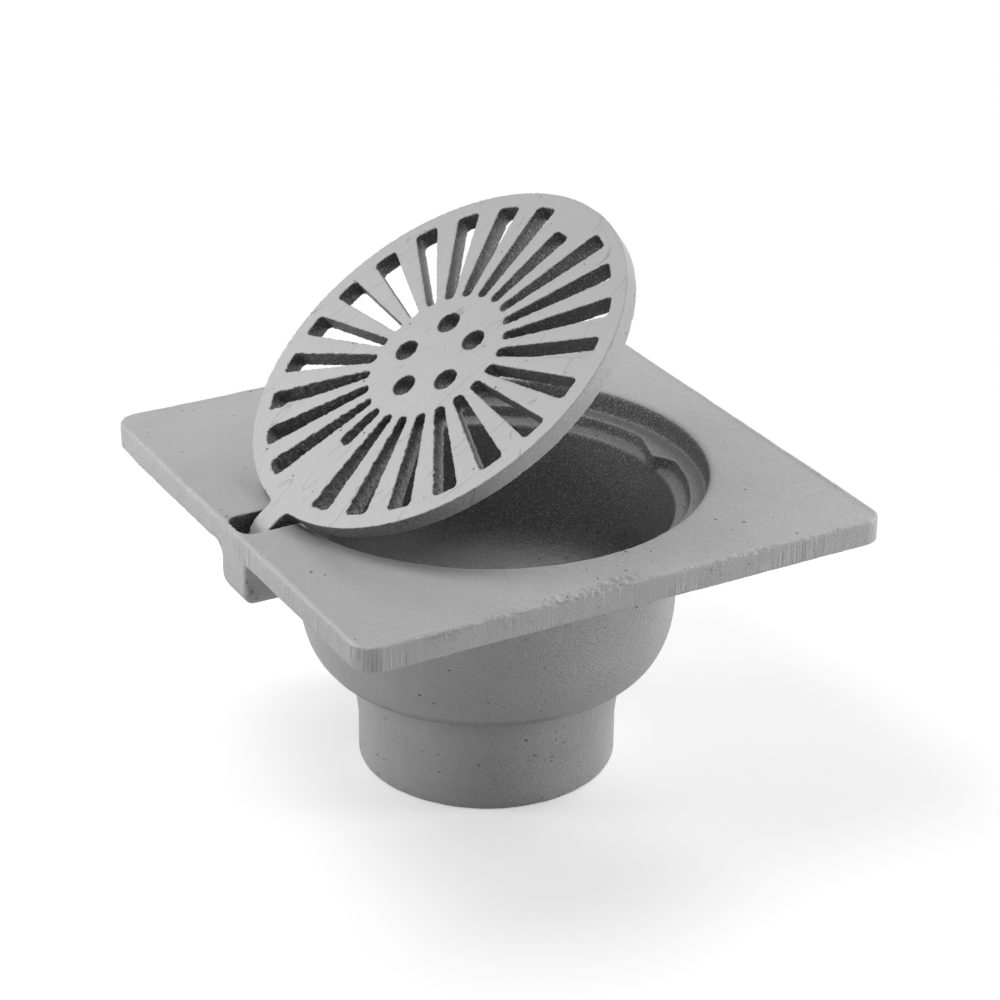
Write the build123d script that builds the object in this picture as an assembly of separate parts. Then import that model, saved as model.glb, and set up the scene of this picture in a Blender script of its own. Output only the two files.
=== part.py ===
"""Cast-iron floor gully: square top with a round mouth, bell-shaped bowl, outlet spigot, hinged round grating."""

import os
from math import cos, hypot, radians, sin

from build123d import *

# Overall, in millimetres, with the origin at the middle of the spigot's lower end
height = 140.5
plate_side = 250.0
plate_thickness = 11.7
plate_corner = 10.0
plate_top_round = 1.2
plate_foot_round = 0.8

# Mouth: recess for the grating, seat, step and second ledge
mouth_radius = 96.7
mouth_lip_round = 2.5
seat_depth = 10.6
seat_width = 7.8
seat_corner_round = 0.6
seat_edge_round = 1.0
step_draft = 0.6
step_foot_round = 0.8
ledge_depth = 16.2
ledge_fall = 1.0
ledge_width = 5.9
ledge_edge_round = 2.0

# Pan under the plate and bowl
pan_wall = 5.3
pan_depth = 15.5
pan_foot_depth = 24.5
bowl_wall = 5.2
bowl_top_wall = 5.5
bowl_taper = 3.6
shoulder_depth = 60.0
shoulder_reach = 18.3
shoulder_drop = 32.2
shoulder_crease_round = 2.5
floor_fall = 1.0

# Outlet spigot
spigot_radius = 58.6
spigot_wall = 6.6
spigot_straight = 20.0
spigot_spread = 2.8
spigot_root_drop = 1.4
spigot_end_round = 0.8
bore_lip_round = 3.5

# Hinge pocket
hinge_side_shift = -1.5
hinge_offset = 9.8
hinge_depth = 15.0
pocket_width = 19.0
pocket_rim = 2.4
pocket_end_round = 6.0
pocket_foot_round = 3.0
pocket_depth = 28.5
pocket_floor = 6.0
pocket_wall = 5.25
housing_heel_round = 9.5
housing_far_round = 8.0
housing_near_round = 1.5
housing_far_blend = 7.0
housing_near_blend = 2.0

# Stop lug on the seat's inner edge: how far each corner stands in from it, and its angle in plan
lug_plan = ((-1.6, 11.0), (0.5, 8.6), (6.5, -2.0), (6.7, -4.2), (4.1, -6.0), (0.7, -8.6), (-1.6, -13.0))
lug_tip_round = 0.9
lug_foot_depth = 19.5

# Grating
grating_play = 3.8
grating_thickness = 8.5
grating_edge_draft = 1.5
grating_top_round = 0.8
grating_foot_round = 1.0
grating_shift = 1.5
seat_gap = 0.3
slot_count = 24
slot_inner_radius = 33.6
slot_rim = 7.5
slot_inner_width = 4.5
slot_outer_width = 11.0
slot_corner_round = 2.2
front_slot_rim = 17.1
back_slot_rim = 38.2
hub_hole_count = 5
hub_hole_radius = 5.4
hub_hole_ring = 18.6
open_angle = 35.3

# Tongue and pin
tongue_width = 13.0
tongue_blend = 2.0
tongue_overlap = 4.9
tongue_edge_round = 0.8
knuckle_radius = 7.0
pin_radius = 3.0
pin_clearance = 0.1

# Places that follow from the sizes above
body_top = height
plate_edge = plate_side / 2
seat_inner_radius = mouth_radius - seat_width
step_foot_radius = seat_inner_radius - step_draft
ledge_inner_radius = step_foot_radius - ledge_width
bowl_top_radius = ledge_inner_radius + bowl_top_wall
bowl_radius = bowl_top_radius - bowl_taper
bowl_inner_radius = bowl_radius - bowl_wall
shoulder_foot_radius = bowl_radius - shoulder_reach
shoulder_foot_depth = shoulder_depth + shoulder_drop
floor_depth = shoulder_foot_depth - bowl_wall
bore_top_depth = floor_depth + floor_fall
spigot_bore_radius = spigot_radius - spigot_wall
spigot_root_radius = spigot_radius + spigot_spread
spigot_root_depth = shoulder_foot_depth + spigot_root_drop
hinge_reach = mouth_radius + hinge_offset
hinge_height = body_top - hinge_depth
pocket_end = plate_edge - pocket_rim
grating_radius = mouth_radius - grating_play
slot_outer_radius = grating_radius - slot_rim
front_slot_radius = grating_radius - front_slot_rim
back_slot_radius = grating_radius - back_slot_rim
tongue_root = grating_radius - tongue_overlap


def at_depth(radius, depth):
    """Point of a turned outline: distance from the axis and depth below the plate's top."""
    return (radius, body_top - depth)


def turned(outline):
    """Solid turned about the upright axis from a function that draws its half outline."""
    with BuildPart() as part:
        with BuildSketch(Plane.XZ):
            with BuildLine():
                outline()
            make_face()
        revolve(axis=Axis.Z)
    return part.part


def top_plate():
    """Square plate with rounded corners and softened edges."""
    plate = Box(plate_side, plate_side, plate_thickness)
    plate = Pos(0, 0, body_top - plate_thickness / 2) * plate
    plate = fillet(plate.edges().filter_by(Axis.Z), plate_corner)
    plate = fillet(plate.faces().sort_by(Axis.Z)[-1].edges(), plate_top_round)
    return fillet(plate.faces().sort_by(Axis.Z)[0].edges(), plate_foot_round)


def shoulder_arc(reach, drop):
    """Quarter ellipse from the bowl's side in and down to the shoulder's foot."""
    EllipticalCenterArc(
        at_depth(shoulder_foot_radius, shoulder_depth),
        reach,
        drop,
        start_angle=270,
        arc_size=90,
    )


def shell_outline():
    """Outside of pan, bowl and spigot, closed on the axis."""
    pan_radius = mouth_radius + pan_wall
    inside_plate = plate_thickness / 2
    heel = at_depth(shoulder_foot_radius, shoulder_foot_depth)
    Polyline(
        at_depth(0, inside_plate),
        at_depth(pan_radius, inside_plate),
        at_depth(pan_radius, pan_depth),
        at_depth(bowl_top_radius, pan_foot_depth),
        at_depth(bowl_radius, shoulder_depth),
    )
    shoulder_arc(shoulder_reach, shoulder_drop)
    Polyline(
        heel,
        at_depth(spigot_root_radius, spigot_root_depth),
        (spigot_radius, spigot_straight),
        (spigot_radius, 0),
        (0, 0),
        at_depth(0, inside_plate),
    )


def cavity_outline():
    """Inside of mouth, seat, ledge, bowl and bore, closed on the axis."""
    above = 1.0
    heel = at_depth(shoulder_foot_radius, floor_depth)
    lip = at_depth(mouth_radius + mouth_lip_round, 0)
    Polyline(at_depth(0, -above), at_depth(mouth_radius + mouth_lip_round, -above), lip)
    RadiusArc(lip, at_depth(mouth_radius, mouth_lip_round), -mouth_lip_round)
    Polyline(
        at_depth(mouth_radius, mouth_lip_round),
        at_depth(mouth_radius, seat_depth),
        at_depth(seat_inner_radius, seat_depth),
        at_depth(step_foot_radius, ledge_depth),
        at_depth(ledge_inner_radius, ledge_depth + ledge_fall),
        at_depth(bowl_inner_radius, shoulder_depth),
    )
    shoulder_arc(shoulder_reach - bowl_wall, shoulder_drop - bowl_wall)
    Polyline(
        heel,
        at_depth(spigot_bore_radius, bore_top_depth),
        (spigot_bore_radius, -above),
        (0, -above),
        at_depth(0, -above),
    )


def shell_solid():
    """Pan, bowl and spigot before they are hollowed, with a blended crease above the spigot."""
    solid = turned(shell_outline)
    creases = solid.edges().filter_by(GeomType.CIRCLE)
    crease = creases.sort_by(lambda edge: abs(edge.radius - spigot_root_radius))[0]
    solid = fillet(crease, shoulder_crease_round)
    foot = solid.faces().sort_by(Axis.Z)[0].edges()
    return fillet(foot, spigot_end_round)


def cavity_solid():
    """Hollow of the casting, with the edges of seat, ledge and bore softened."""
    solid = turned(cavity_outline)
    rounds = (
        (seat_inner_radius, seat_depth, seat_edge_round),
        (step_foot_radius, ledge_depth, step_foot_round),
        (ledge_inner_radius, ledge_depth + ledge_fall, ledge_edge_round),
        (mouth_radius, seat_depth, seat_corner_round),
        (spigot_bore_radius, bore_top_depth, bore_lip_round),
    )
    for radius, depth, size in rounds:
        wanted = at_depth(radius, depth)
        circles = solid.edges().filter_by(GeomType.CIRCLE)
        nearest = circles.sort_by(
            lambda edge: hypot(edge.radius - wanted[0], edge.arc_center.Z - wanted[1])
        )[0]
        solid = fillet(nearest, size)
    return solid


def housing():
    """Block that carries the hinge pocket under one side of the plate."""
    half = pocket_width / 2 + pocket_wall
    bottom = body_top - pocket_depth - pocket_floor
    top = body_top - plate_thickness
    long = plate_edge - bowl_inner_radius
    block = Box(long, 2 * half, top - bottom)
    block = Pos(-plate_edge + long / 2, hinge_side_shift, (top + bottom) / 2) * block
    uprights = block.edges().filter_by(Axis.Z).sort_by(Axis.X)[:2].sort_by(Axis.Y)
    block = fillet(uprights[-1], housing_far_round)
    outer = block.edges().filter_by(Axis.Z).sort_by(Axis.X)
    near = outer.sort_by(lambda edge: hypot(edge.center().X + plate_edge, edge.center().Y - hinge_side_shift + half))
    block = fillet(near[0], housing_near_round)
    heel = block.edges().filter_by(Axis.Y).sort_by(lambda e: (round(e.center().X, 3), e.center().Z))
    return fillet(heel[0], housing_heel_round)


def housing_blends():
    """Hollow fillets between the housing's sides and the underside of the plate."""
    half = pocket_width / 2 + pocket_wall
    under = body_top - plate_thickness
    overlap = 1.0
    long = plate_edge - bowl_inner_radius - overlap
    parts = []
    for side, size in ((1, housing_far_blend), (-1, housing_near_blend)):
        face_y = hinge_side_shift + side * half
        middle = (size - overlap) / 2
        corner = Pos(0, face_y + side * middle, under - middle) * Box(long, size + overlap, size + overlap)
        hollow = Pos(0, face_y + side * size, under - size) * Rot(0, 90, 0) * Cylinder(size, long + overlap)
        web = Pos(-plate_edge + overlap + long / 2, 0, 0) * (corner - hollow)
        parts.append(web)
    return parts


def pocket():
    """Space for the tongue: open above, open to the bowl, rounded at its outer end and floor."""
    above = 1.0
    inner = spigot_root_radius
    long = pocket_end - inner
    tall = pocket_depth + above
    block = Box(long, pocket_width, tall)
    block = Pos(-inner - long / 2, hinge_side_shift, body_top + above - tall / 2) * block
    ends = block.edges().filter_by(Axis.Z).sort_by(Axis.X)[:2]
    block = fillet(ends, pocket_end_round)
    floor_edges = block.faces().sort_by(Axis.Z)[0].edges()
    outer = [edge for edge in floor_edges if edge.center().X < -pocket_end + pocket_end_round]
    return fillet(outer, pocket_foot_round)


def polar(radius, angle):
    """Point in plan at a distance from the axis and an angle in degrees."""
    return (radius * cos(radians(angle)), radius * sin(radians(angle)))


def stop_lug():
    """Small wedge that stands in from the seat, with its tip rounded."""
    with BuildPart() as part:
        with BuildSketch(Plane.XY.offset(body_top - lug_foot_depth)) as plan:
            with BuildLine():
                Polyline(*[polar(seat_inner_radius - inset, angle) for inset, angle in lug_plan], close=True)
            make_face()
            deepest = max(inset for inset, angle in lug_plan)
            tips = [v for v in plan.vertices() if hypot(v.X, v.Y) < seat_inner_radius - 0.8 * deepest]
            fillet(tips, lug_tip_round)
        extrude(amount=lug_foot_depth - seat_depth)
    return part.part


def pin_rod(radius, length):
    """Round rod along the hinge line."""
    rod = Cylinder(radius, length)
    return Pos(-hinge_reach, hinge_side_shift, hinge_height) * Rot(90, 0, 0) * rod


def gully_body():
    """Whole body casting with its mouth, pocket and pin holes."""
    solid = top_plate() + shell_solid() + housing()
    for web in housing_blends():
        solid = solid + web
    solid = solid - cavity_solid()
    solid = solid + stop_lug()
    solid = solid - pocket()
    return solid - pin_rod(pin_radius, 2 * pocket_width + 2 * pocket_wall)


def slot_outline(inner_radius, outer_radius):
    """One tapered slot along +X, with full round inner end and rounded outer corners."""
    spread = (slot_outer_width - slot_inner_width) / (slot_outer_radius - slot_inner_radius)
    inner_half = slot_inner_width / 2
    outer_half = (slot_inner_width + spread * (outer_radius - slot_inner_radius)) / 2
    with BuildSketch() as plan:
        with BuildLine():
            Polyline(
                (inner_radius, -inner_half),
                (outer_radius, -outer_half),
                (outer_radius, outer_half),
                (inner_radius, inner_half),
                close=True,
            )
        make_face()
        inner = plan.vertices().sort_by(Axis.X)[:2]
        fillet(inner, inner_half * 0.92)
        outer = plan.vertices().sort_by(Axis.X)[-2:]
        fillet(outer, min(slot_corner_round, outer_half * 0.8))
    return plan.sketch


def grating_slots():
    """All slots and hub holes in plan; those before and behind the hinge line are shorter."""
    cuts = []
    for index in range(slot_count):
        outer_radius = slot_outer_radius
        inner_radius = slot_inner_radius
        if index == 0:
            outer_radius = front_slot_radius
        if index == slot_count // 2:
            outer_radius = back_slot_radius
        cuts.append(Rot(0, 0, index * 360 / slot_count) * slot_outline(inner_radius, outer_radius))
    for index in range(hub_hole_count):
        centre = polar(hub_hole_ring, 180 + index * 360 / hub_hole_count)
        cuts.append(Pos(*centre) * Circle(hub_hole_radius))
    return cuts


def grating_disc():
    """Round plate with a drafted rim, its top face at height zero."""
    foot_radius = grating_radius - grating_edge_draft

    def outline():
        Polyline(
            (0, 0),
            (grating_radius, 0),
            (foot_radius, -grating_thickness),
            (0, -grating_thickness),
            close=True,
        )

    disc = turned(outline)
    disc = fillet(disc.faces().sort_by(Axis.Z)[-1].edges(), grating_top_round)
    return fillet(disc.faces().sort_by(Axis.Z)[0].edges(), grating_foot_round)


def tongue(axis_x, axis_z):
    """Tongue that leaves the rim and drops to a round knuckle on the hinge line."""
    with BuildPart() as arm:
        with BuildSketch(Plane.XZ) as side:
            with BuildLine():
                Polyline(
                    (-tongue_root, 0),
                    (axis_x + knuckle_radius, 0),
                    (axis_x - knuckle_radius * 0.1, axis_z + knuckle_radius * 0.99),
                    (axis_x, axis_z - knuckle_radius),
                    (axis_x + 2 * knuckle_radius, -grating_thickness),
                    (-tongue_root, -grating_thickness),
                    close=True,
                )
            make_face()
            with Locations((axis_x, axis_z)):
                Circle(knuckle_radius)
        extrude(amount=tongue_width / 2, both=True)
    sides = arm.part.faces().sort_by(Axis.Y)
    return fillet(sides[0].edges() + sides[-1].edges(), tongue_edge_round)


def tongue_webs():
    """Plan fillets where the tongue leaves the rim."""
    webs = []
    reach = grating_radius + tongue_blend
    half = tongue_width / 2
    for side in (1, -1):
        centre_y = side * (half + tongue_blend)
        centre_x = -(reach ** 2 - centre_y ** 2) ** 0.5
        block = Box(2 * tongue_blend + 4, tongue_blend, grating_thickness - 1.0)
        block = Pos(centre_x + tongue_blend + 2, centre_y - side * tongue_blend / 2, -grating_thickness / 2) * block
        hollow = Pos(centre_x, centre_y, -grating_thickness / 2) * Cylinder(tongue_blend, grating_thickness)
        webs.append(block - hollow)
    return webs


def grating():
    """Whole grating casting, shut, then swung open about the hinge line."""
    top = body_top - seat_depth + seat_gap + grating_thickness
    axis_x = -hinge_reach - grating_shift
    axis_z = hinge_height - top
    solid = grating_disc()
    arm = tongue(axis_x, axis_z)
    for web in tongue_webs():
        arm = arm + web
    solid = solid + Pos(0, hinge_side_shift, 0) * arm
    for cut in grating_slots():
        solid = solid - extrude(Pos(0, 0, -grating_thickness - 1) * cut, amount=grating_thickness + 2)
    solid = Pos(grating_shift, 0, top) * solid
    solid = solid - pin_rod(pin_radius + pin_clearance, 2 * pocket_width)
    line = Axis((-hinge_reach, hinge_side_shift, hinge_height), (0, -1, 0))
    return solid.rotate(line, open_angle)


def hinge_pin():
    """Steel rod that ends flush with both sides of the housing."""
    return pin_rod(pin_radius, pocket_width + 2 * pocket_wall)


def main():
    """Builds each piece and writes one file for each."""
    os.makedirs("parts", exist_ok=True)
    pieces = {"gully_body": gully_body(), "grating": grating(), "hinge_pin": hinge_pin()}
    for name, piece in pieces.items():
        solids = piece.solids()
        box = piece.bounding_box()
        print(name, len(solids), "solid", round(piece.volume / 1000, 1), "cm3", box.min, box.max)
        export_step(piece, f"parts/{name}.step")


main()
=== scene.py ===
"""Looks of the cast-iron floor gully: two sand-cast iron pieces, hinge pin, studio floor, lamps and camera."""

from __future__ import annotations

import logging
from dataclasses import dataclass, field
from enum import Enum
from functools import cache
from math import atan2, cos, degrees, pi, radians, sin

import bmesh
import bpy
import numpy as np
from mathutils import Euler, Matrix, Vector, noise


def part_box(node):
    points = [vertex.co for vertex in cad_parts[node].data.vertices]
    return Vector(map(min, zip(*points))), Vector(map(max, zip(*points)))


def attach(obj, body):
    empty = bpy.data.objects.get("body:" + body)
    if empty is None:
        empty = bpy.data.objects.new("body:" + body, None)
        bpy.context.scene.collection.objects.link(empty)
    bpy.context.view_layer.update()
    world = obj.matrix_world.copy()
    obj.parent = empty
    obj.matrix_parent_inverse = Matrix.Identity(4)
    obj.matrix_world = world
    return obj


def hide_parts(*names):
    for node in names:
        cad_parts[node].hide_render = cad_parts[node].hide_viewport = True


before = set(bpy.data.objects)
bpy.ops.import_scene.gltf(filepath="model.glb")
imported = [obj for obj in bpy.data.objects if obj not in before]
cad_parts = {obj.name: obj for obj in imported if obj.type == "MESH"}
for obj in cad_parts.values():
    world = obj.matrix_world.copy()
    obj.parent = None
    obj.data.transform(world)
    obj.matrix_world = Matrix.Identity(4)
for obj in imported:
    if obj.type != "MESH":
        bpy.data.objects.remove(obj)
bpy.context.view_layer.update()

log = logging.getLogger("gully")

MM = 0.001
TINY = 1e-6
VIEW_RIGHT = (0.874, -0.486)
Point = tuple[float, float, float]
Socket = bpy.types.NodeSocket


class Shape(Enum):
    """What a tree makes: a mesh or a surface."""

    MESH = "GeometryNodeTree"
    SURFACE = "ShaderNodeTree"


class Part(Enum):
    """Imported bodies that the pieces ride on."""

    GULLY = "gully"
    COVER = "cover"


class Sketch:
    """Adds nodes to one tree and joins their sockets."""

    def __init__(self, tree: bpy.types.NodeTree) -> None:
        """Keeps the tree.

        Args:
            tree: The node tree that the nodes go into.
        """
        self.tree = tree

    def feed(self, socket: Socket, value: object) -> None:
        """Joins a socket to another, or sets its own value.

        Args:
            socket: The input socket.
            value: An output socket, a number, a vector or any plain value.
        """
        if isinstance(value, bpy.types.NodeSocket):
            self.tree.links.new(value, socket)
        else:
            socket.default_value = value

    def add(self, kind: str, inputs: dict[object, object] | None = None, **settings: object) -> bpy.types.Node:
        """Adds one node.

        Args:
            kind: Blender's name of the node type.
            inputs: Values or sockets for its inputs, by name or by number.
            settings: The node's own settings.

        Returns:
            The new node.
        """
        node = self.tree.nodes.new(kind)
        for name, value in settings.items():
            setattr(node, name, value)
        for key, value in (inputs or {}).items():
            self.feed(node.inputs[key], value)
        return node

    def math(self, operation: str, first: object, second: object = 0.0, third: object = 0.0) -> Socket:
        """Adds a sum on numbers.

        Args:
            operation: Name of the sum, such as MULTIPLY.
            first: First number or socket.
            second: Second number or socket.
            third: Third number or socket.

        Returns:
            The socket of the result.
        """
        node = self.add("ShaderNodeMath", operation=operation)
        for socket, value in zip(node.inputs, (first, second, third)):
            self.feed(socket, value)
        return node.outputs[0]

    def times(self, first: object, second: object) -> Socket:
        """Multiplies two numbers or sockets."""
        return self.math("MULTIPLY", first, second)

    def joined(self, x: object = 0.0, y: object = 0.0, z: object = 0.0) -> Socket:
        """Joins three numbers or sockets into a vector."""
        return self.add("ShaderNodeCombineXYZ", {"X": x, "Y": y, "Z": z}).outputs[0]

    def split(self, vector: object) -> tuple[Socket, Socket, Socket]:
        """Splits a vector into its x, y and z."""
        node = self.add("ShaderNodeSeparateXYZ", {"Vector": vector})
        return node.outputs["X"], node.outputs["Y"], node.outputs["Z"]

    def vector(
        self, operation: str, first: object, second: object = (0.0, 0.0, 0.0), scale: object = 1.0
    ) -> bpy.types.Node:
        """Adds a sum on vectors.

        Args:
            operation: Name of the sum, such as ADD.
            first: First vector or socket.
            second: Second vector or socket.
            scale: Factor for the SCALE sum.

        Returns:
            The node, with both its outputs.
        """
        node = self.add("ShaderNodeVectorMath", operation=operation)
        self.feed(node.inputs[0], first)
        if operation == "SCALE":
            self.feed(node.inputs["Scale"], scale)
        elif operation != "LENGTH":
            self.feed(node.inputs[1], second)
        return node

    def span(
        self, value: object, low: object, high: object, out_low: object = 0.0, out_high: object = 1.0
    ) -> Socket:
        """Maps a value from one range to another, smoothly and kept inside it.

        Args:
            value: The value or socket.
            low: Start of the first range.
            high: End of the first range.
            out_low: Start of the second range.
            out_high: End of the second range.

        Returns:
            The mapped value.
        """
        node = self.add("ShaderNodeMapRange", interpolation_type="SMOOTHSTEP", clamp=True)
        for socket, number in zip(node.inputs, (value, low, high, out_low, out_high)):
            self.feed(socket, number)
        return node.outputs[0]

    def clouds(self, place: object, size: object, detail: float = 2.0, rough: float = 0.5) -> Socket:
        """Soft noise of a given size.

        Args:
            place: Vector socket.
            size: Width of one cloud, in metres.
            detail: Finer layers.
            rough: Share of each finer layer.

        Returns:
            The noise, from 0 to 1.
        """
        scale = self.math("DIVIDE", 1.0, size)
        inputs = {"Vector": place, "Scale": scale, "Detail": detail, "Roughness": rough}
        return self.add("ShaderNodeTexNoise", inputs).outputs[0]


def new_tree(
    name: str, shape: Shape, inputs: dict[str, object], outputs: dict[str, str]
) -> tuple[Sketch, dict[str, Socket], bpy.types.Node]:
    """Starts a node group with named inputs and outputs.

    Args:
        name: Name of the group.
        shape: Whether it makes a mesh or a surface.
        inputs: First value of each input if it is a number, or else its kind of socket.
        outputs: Kind of socket of each output.

    Returns:
        The sketch, the input sockets by name and the output node.
    """
    tree = bpy.data.node_groups.new(name, shape.value)
    for title, value in inputs.items():
        kind = value if isinstance(value, str) else "Int" if isinstance(value, int) else "Float"
        socket = tree.interface.new_socket(title, in_out="INPUT", socket_type="NodeSocket" + kind)
        if kind != value:
            socket.default_value = value
    for title, kind in outputs.items():
        tree.interface.new_socket(title, in_out="OUTPUT", socket_type="NodeSocket" + kind)
    sketch = Sketch(tree)
    entry = sketch.add("NodeGroupInput")
    leave = sketch.add("NodeGroupOutput")
    return sketch, {title: entry.outputs[title] for title in inputs}, leave


def end_tree(sketch: Sketch, geometry: Socket, finish: Socket, leave: bpy.types.Node) -> bpy.types.NodeTree:
    """Ends a tree with real geometry and its material.

    Args:
        sketch: The sketch of the tree.
        geometry: What the tree made.
        finish: The material.
        leave: The output node.

    Returns:
        The tree.
    """
    real = sketch.add("GeometryNodeRealizeInstances", {"Geometry": geometry})
    coat = sketch.add("GeometryNodeSetMaterial", {"Geometry": real.outputs[0], "Material": finish})
    sketch.feed(leave.inputs["Geometry"], coat.outputs[0])
    return sketch.tree


def set_inputs(modifier: bpy.types.Modifier, sizes: object, others: dict[str, object]) -> None:
    """Sets a geometry modifier's inputs by their sockets' identifiers.

    Args:
        modifier: The Geometry Nodes modifier.
        sizes: Piece or skin whose fields are named as the inputs are.
        others: Value of each input that isn't such a field, by its name.
    """
    for item in modifier.node_group.interface.items_tree:
        if item.item_type != "SOCKET" or item.in_out != "INPUT":
            continue
        title = item.name.lower().replace(" ", "_")
        if item.name in others:
            modifier[item.identifier] = others[item.name]
        elif hasattr(sizes, title):
            modifier[item.identifier] = getattr(sizes, title)


def baked(thing: bpy.types.Object) -> bpy.types.Object:
    """Turns an object with its modifiers into a plain mesh at the origin.

    Args:
        thing: The object.

    Returns:
        The same object with a new mesh and no modifiers.
    """
    graph = bpy.context.evaluated_depsgraph_get()
    seen = thing.evaluated_get(graph)
    mesh = bpy.data.meshes.new_from_object(seen, preserve_all_data_layers=True, depsgraph=graph)
    thing.modifiers.clear()
    thing.data = mesh
    return thing


def placed(name: str, mesh: bpy.types.Mesh) -> bpy.types.Object:
    """Puts a mesh into the scene as an object at the origin.

    Args:
        name: Name of the object.
        mesh: Its mesh.

    Returns:
        The object.
    """
    thing = bpy.data.objects.new(name, mesh)
    bpy.context.scene.collection.objects.link(thing)
    return thing


def points_of(mesh: bpy.types.Mesh) -> np.ndarray:
    """Corners of a mesh as rows of x, y, z.

    Args:
        mesh: The mesh.

    Returns:
        One row for each corner.
    """
    flat = np.empty(len(mesh.vertices) * 3)
    mesh.vertices.foreach_get("co", flat)
    return flat.reshape(-1, 3)


def normals_of(mesh: bpy.types.Mesh) -> np.ndarray:
    """Normals at the corners of a mesh as rows of x, y, z.

    Args:
        mesh: The mesh.

    Returns:
        One row for each corner.
    """
    flat = np.empty(len(mesh.vertices) * 3)
    mesh.vertex_normals.foreach_get("vector", flat)
    return flat.reshape(-1, 3)


def edges_of(mesh: bpy.types.Mesh) -> np.ndarray:
    """Pairs of corners that the mesh's edges join.

    Args:
        mesh: The mesh.

    Returns:
        One row for each edge, with the numbers of its corners.
    """
    flat = np.empty(len(mesh.edges) * 2, dtype=np.int64)
    mesh.edges.foreach_get("vertices", flat)
    return flat.reshape(-1, 2)


def write_points(mesh: bpy.types.Mesh, points: np.ndarray) -> None:
    """Writes changed corners back into a mesh."""
    mesh.vertices.foreach_set("co", points.ravel())
    mesh.update()


def write_values(mesh: bpy.types.Mesh, name: str, values: np.ndarray) -> None:
    """Writes one number for each corner as a named attribute."""
    layer = mesh.attributes.get(name) or mesh.attributes.new(name, "FLOAT", "POINT")
    layer.data.foreach_set("value", values.astype(np.float32))


# Sand-cast skin


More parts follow.
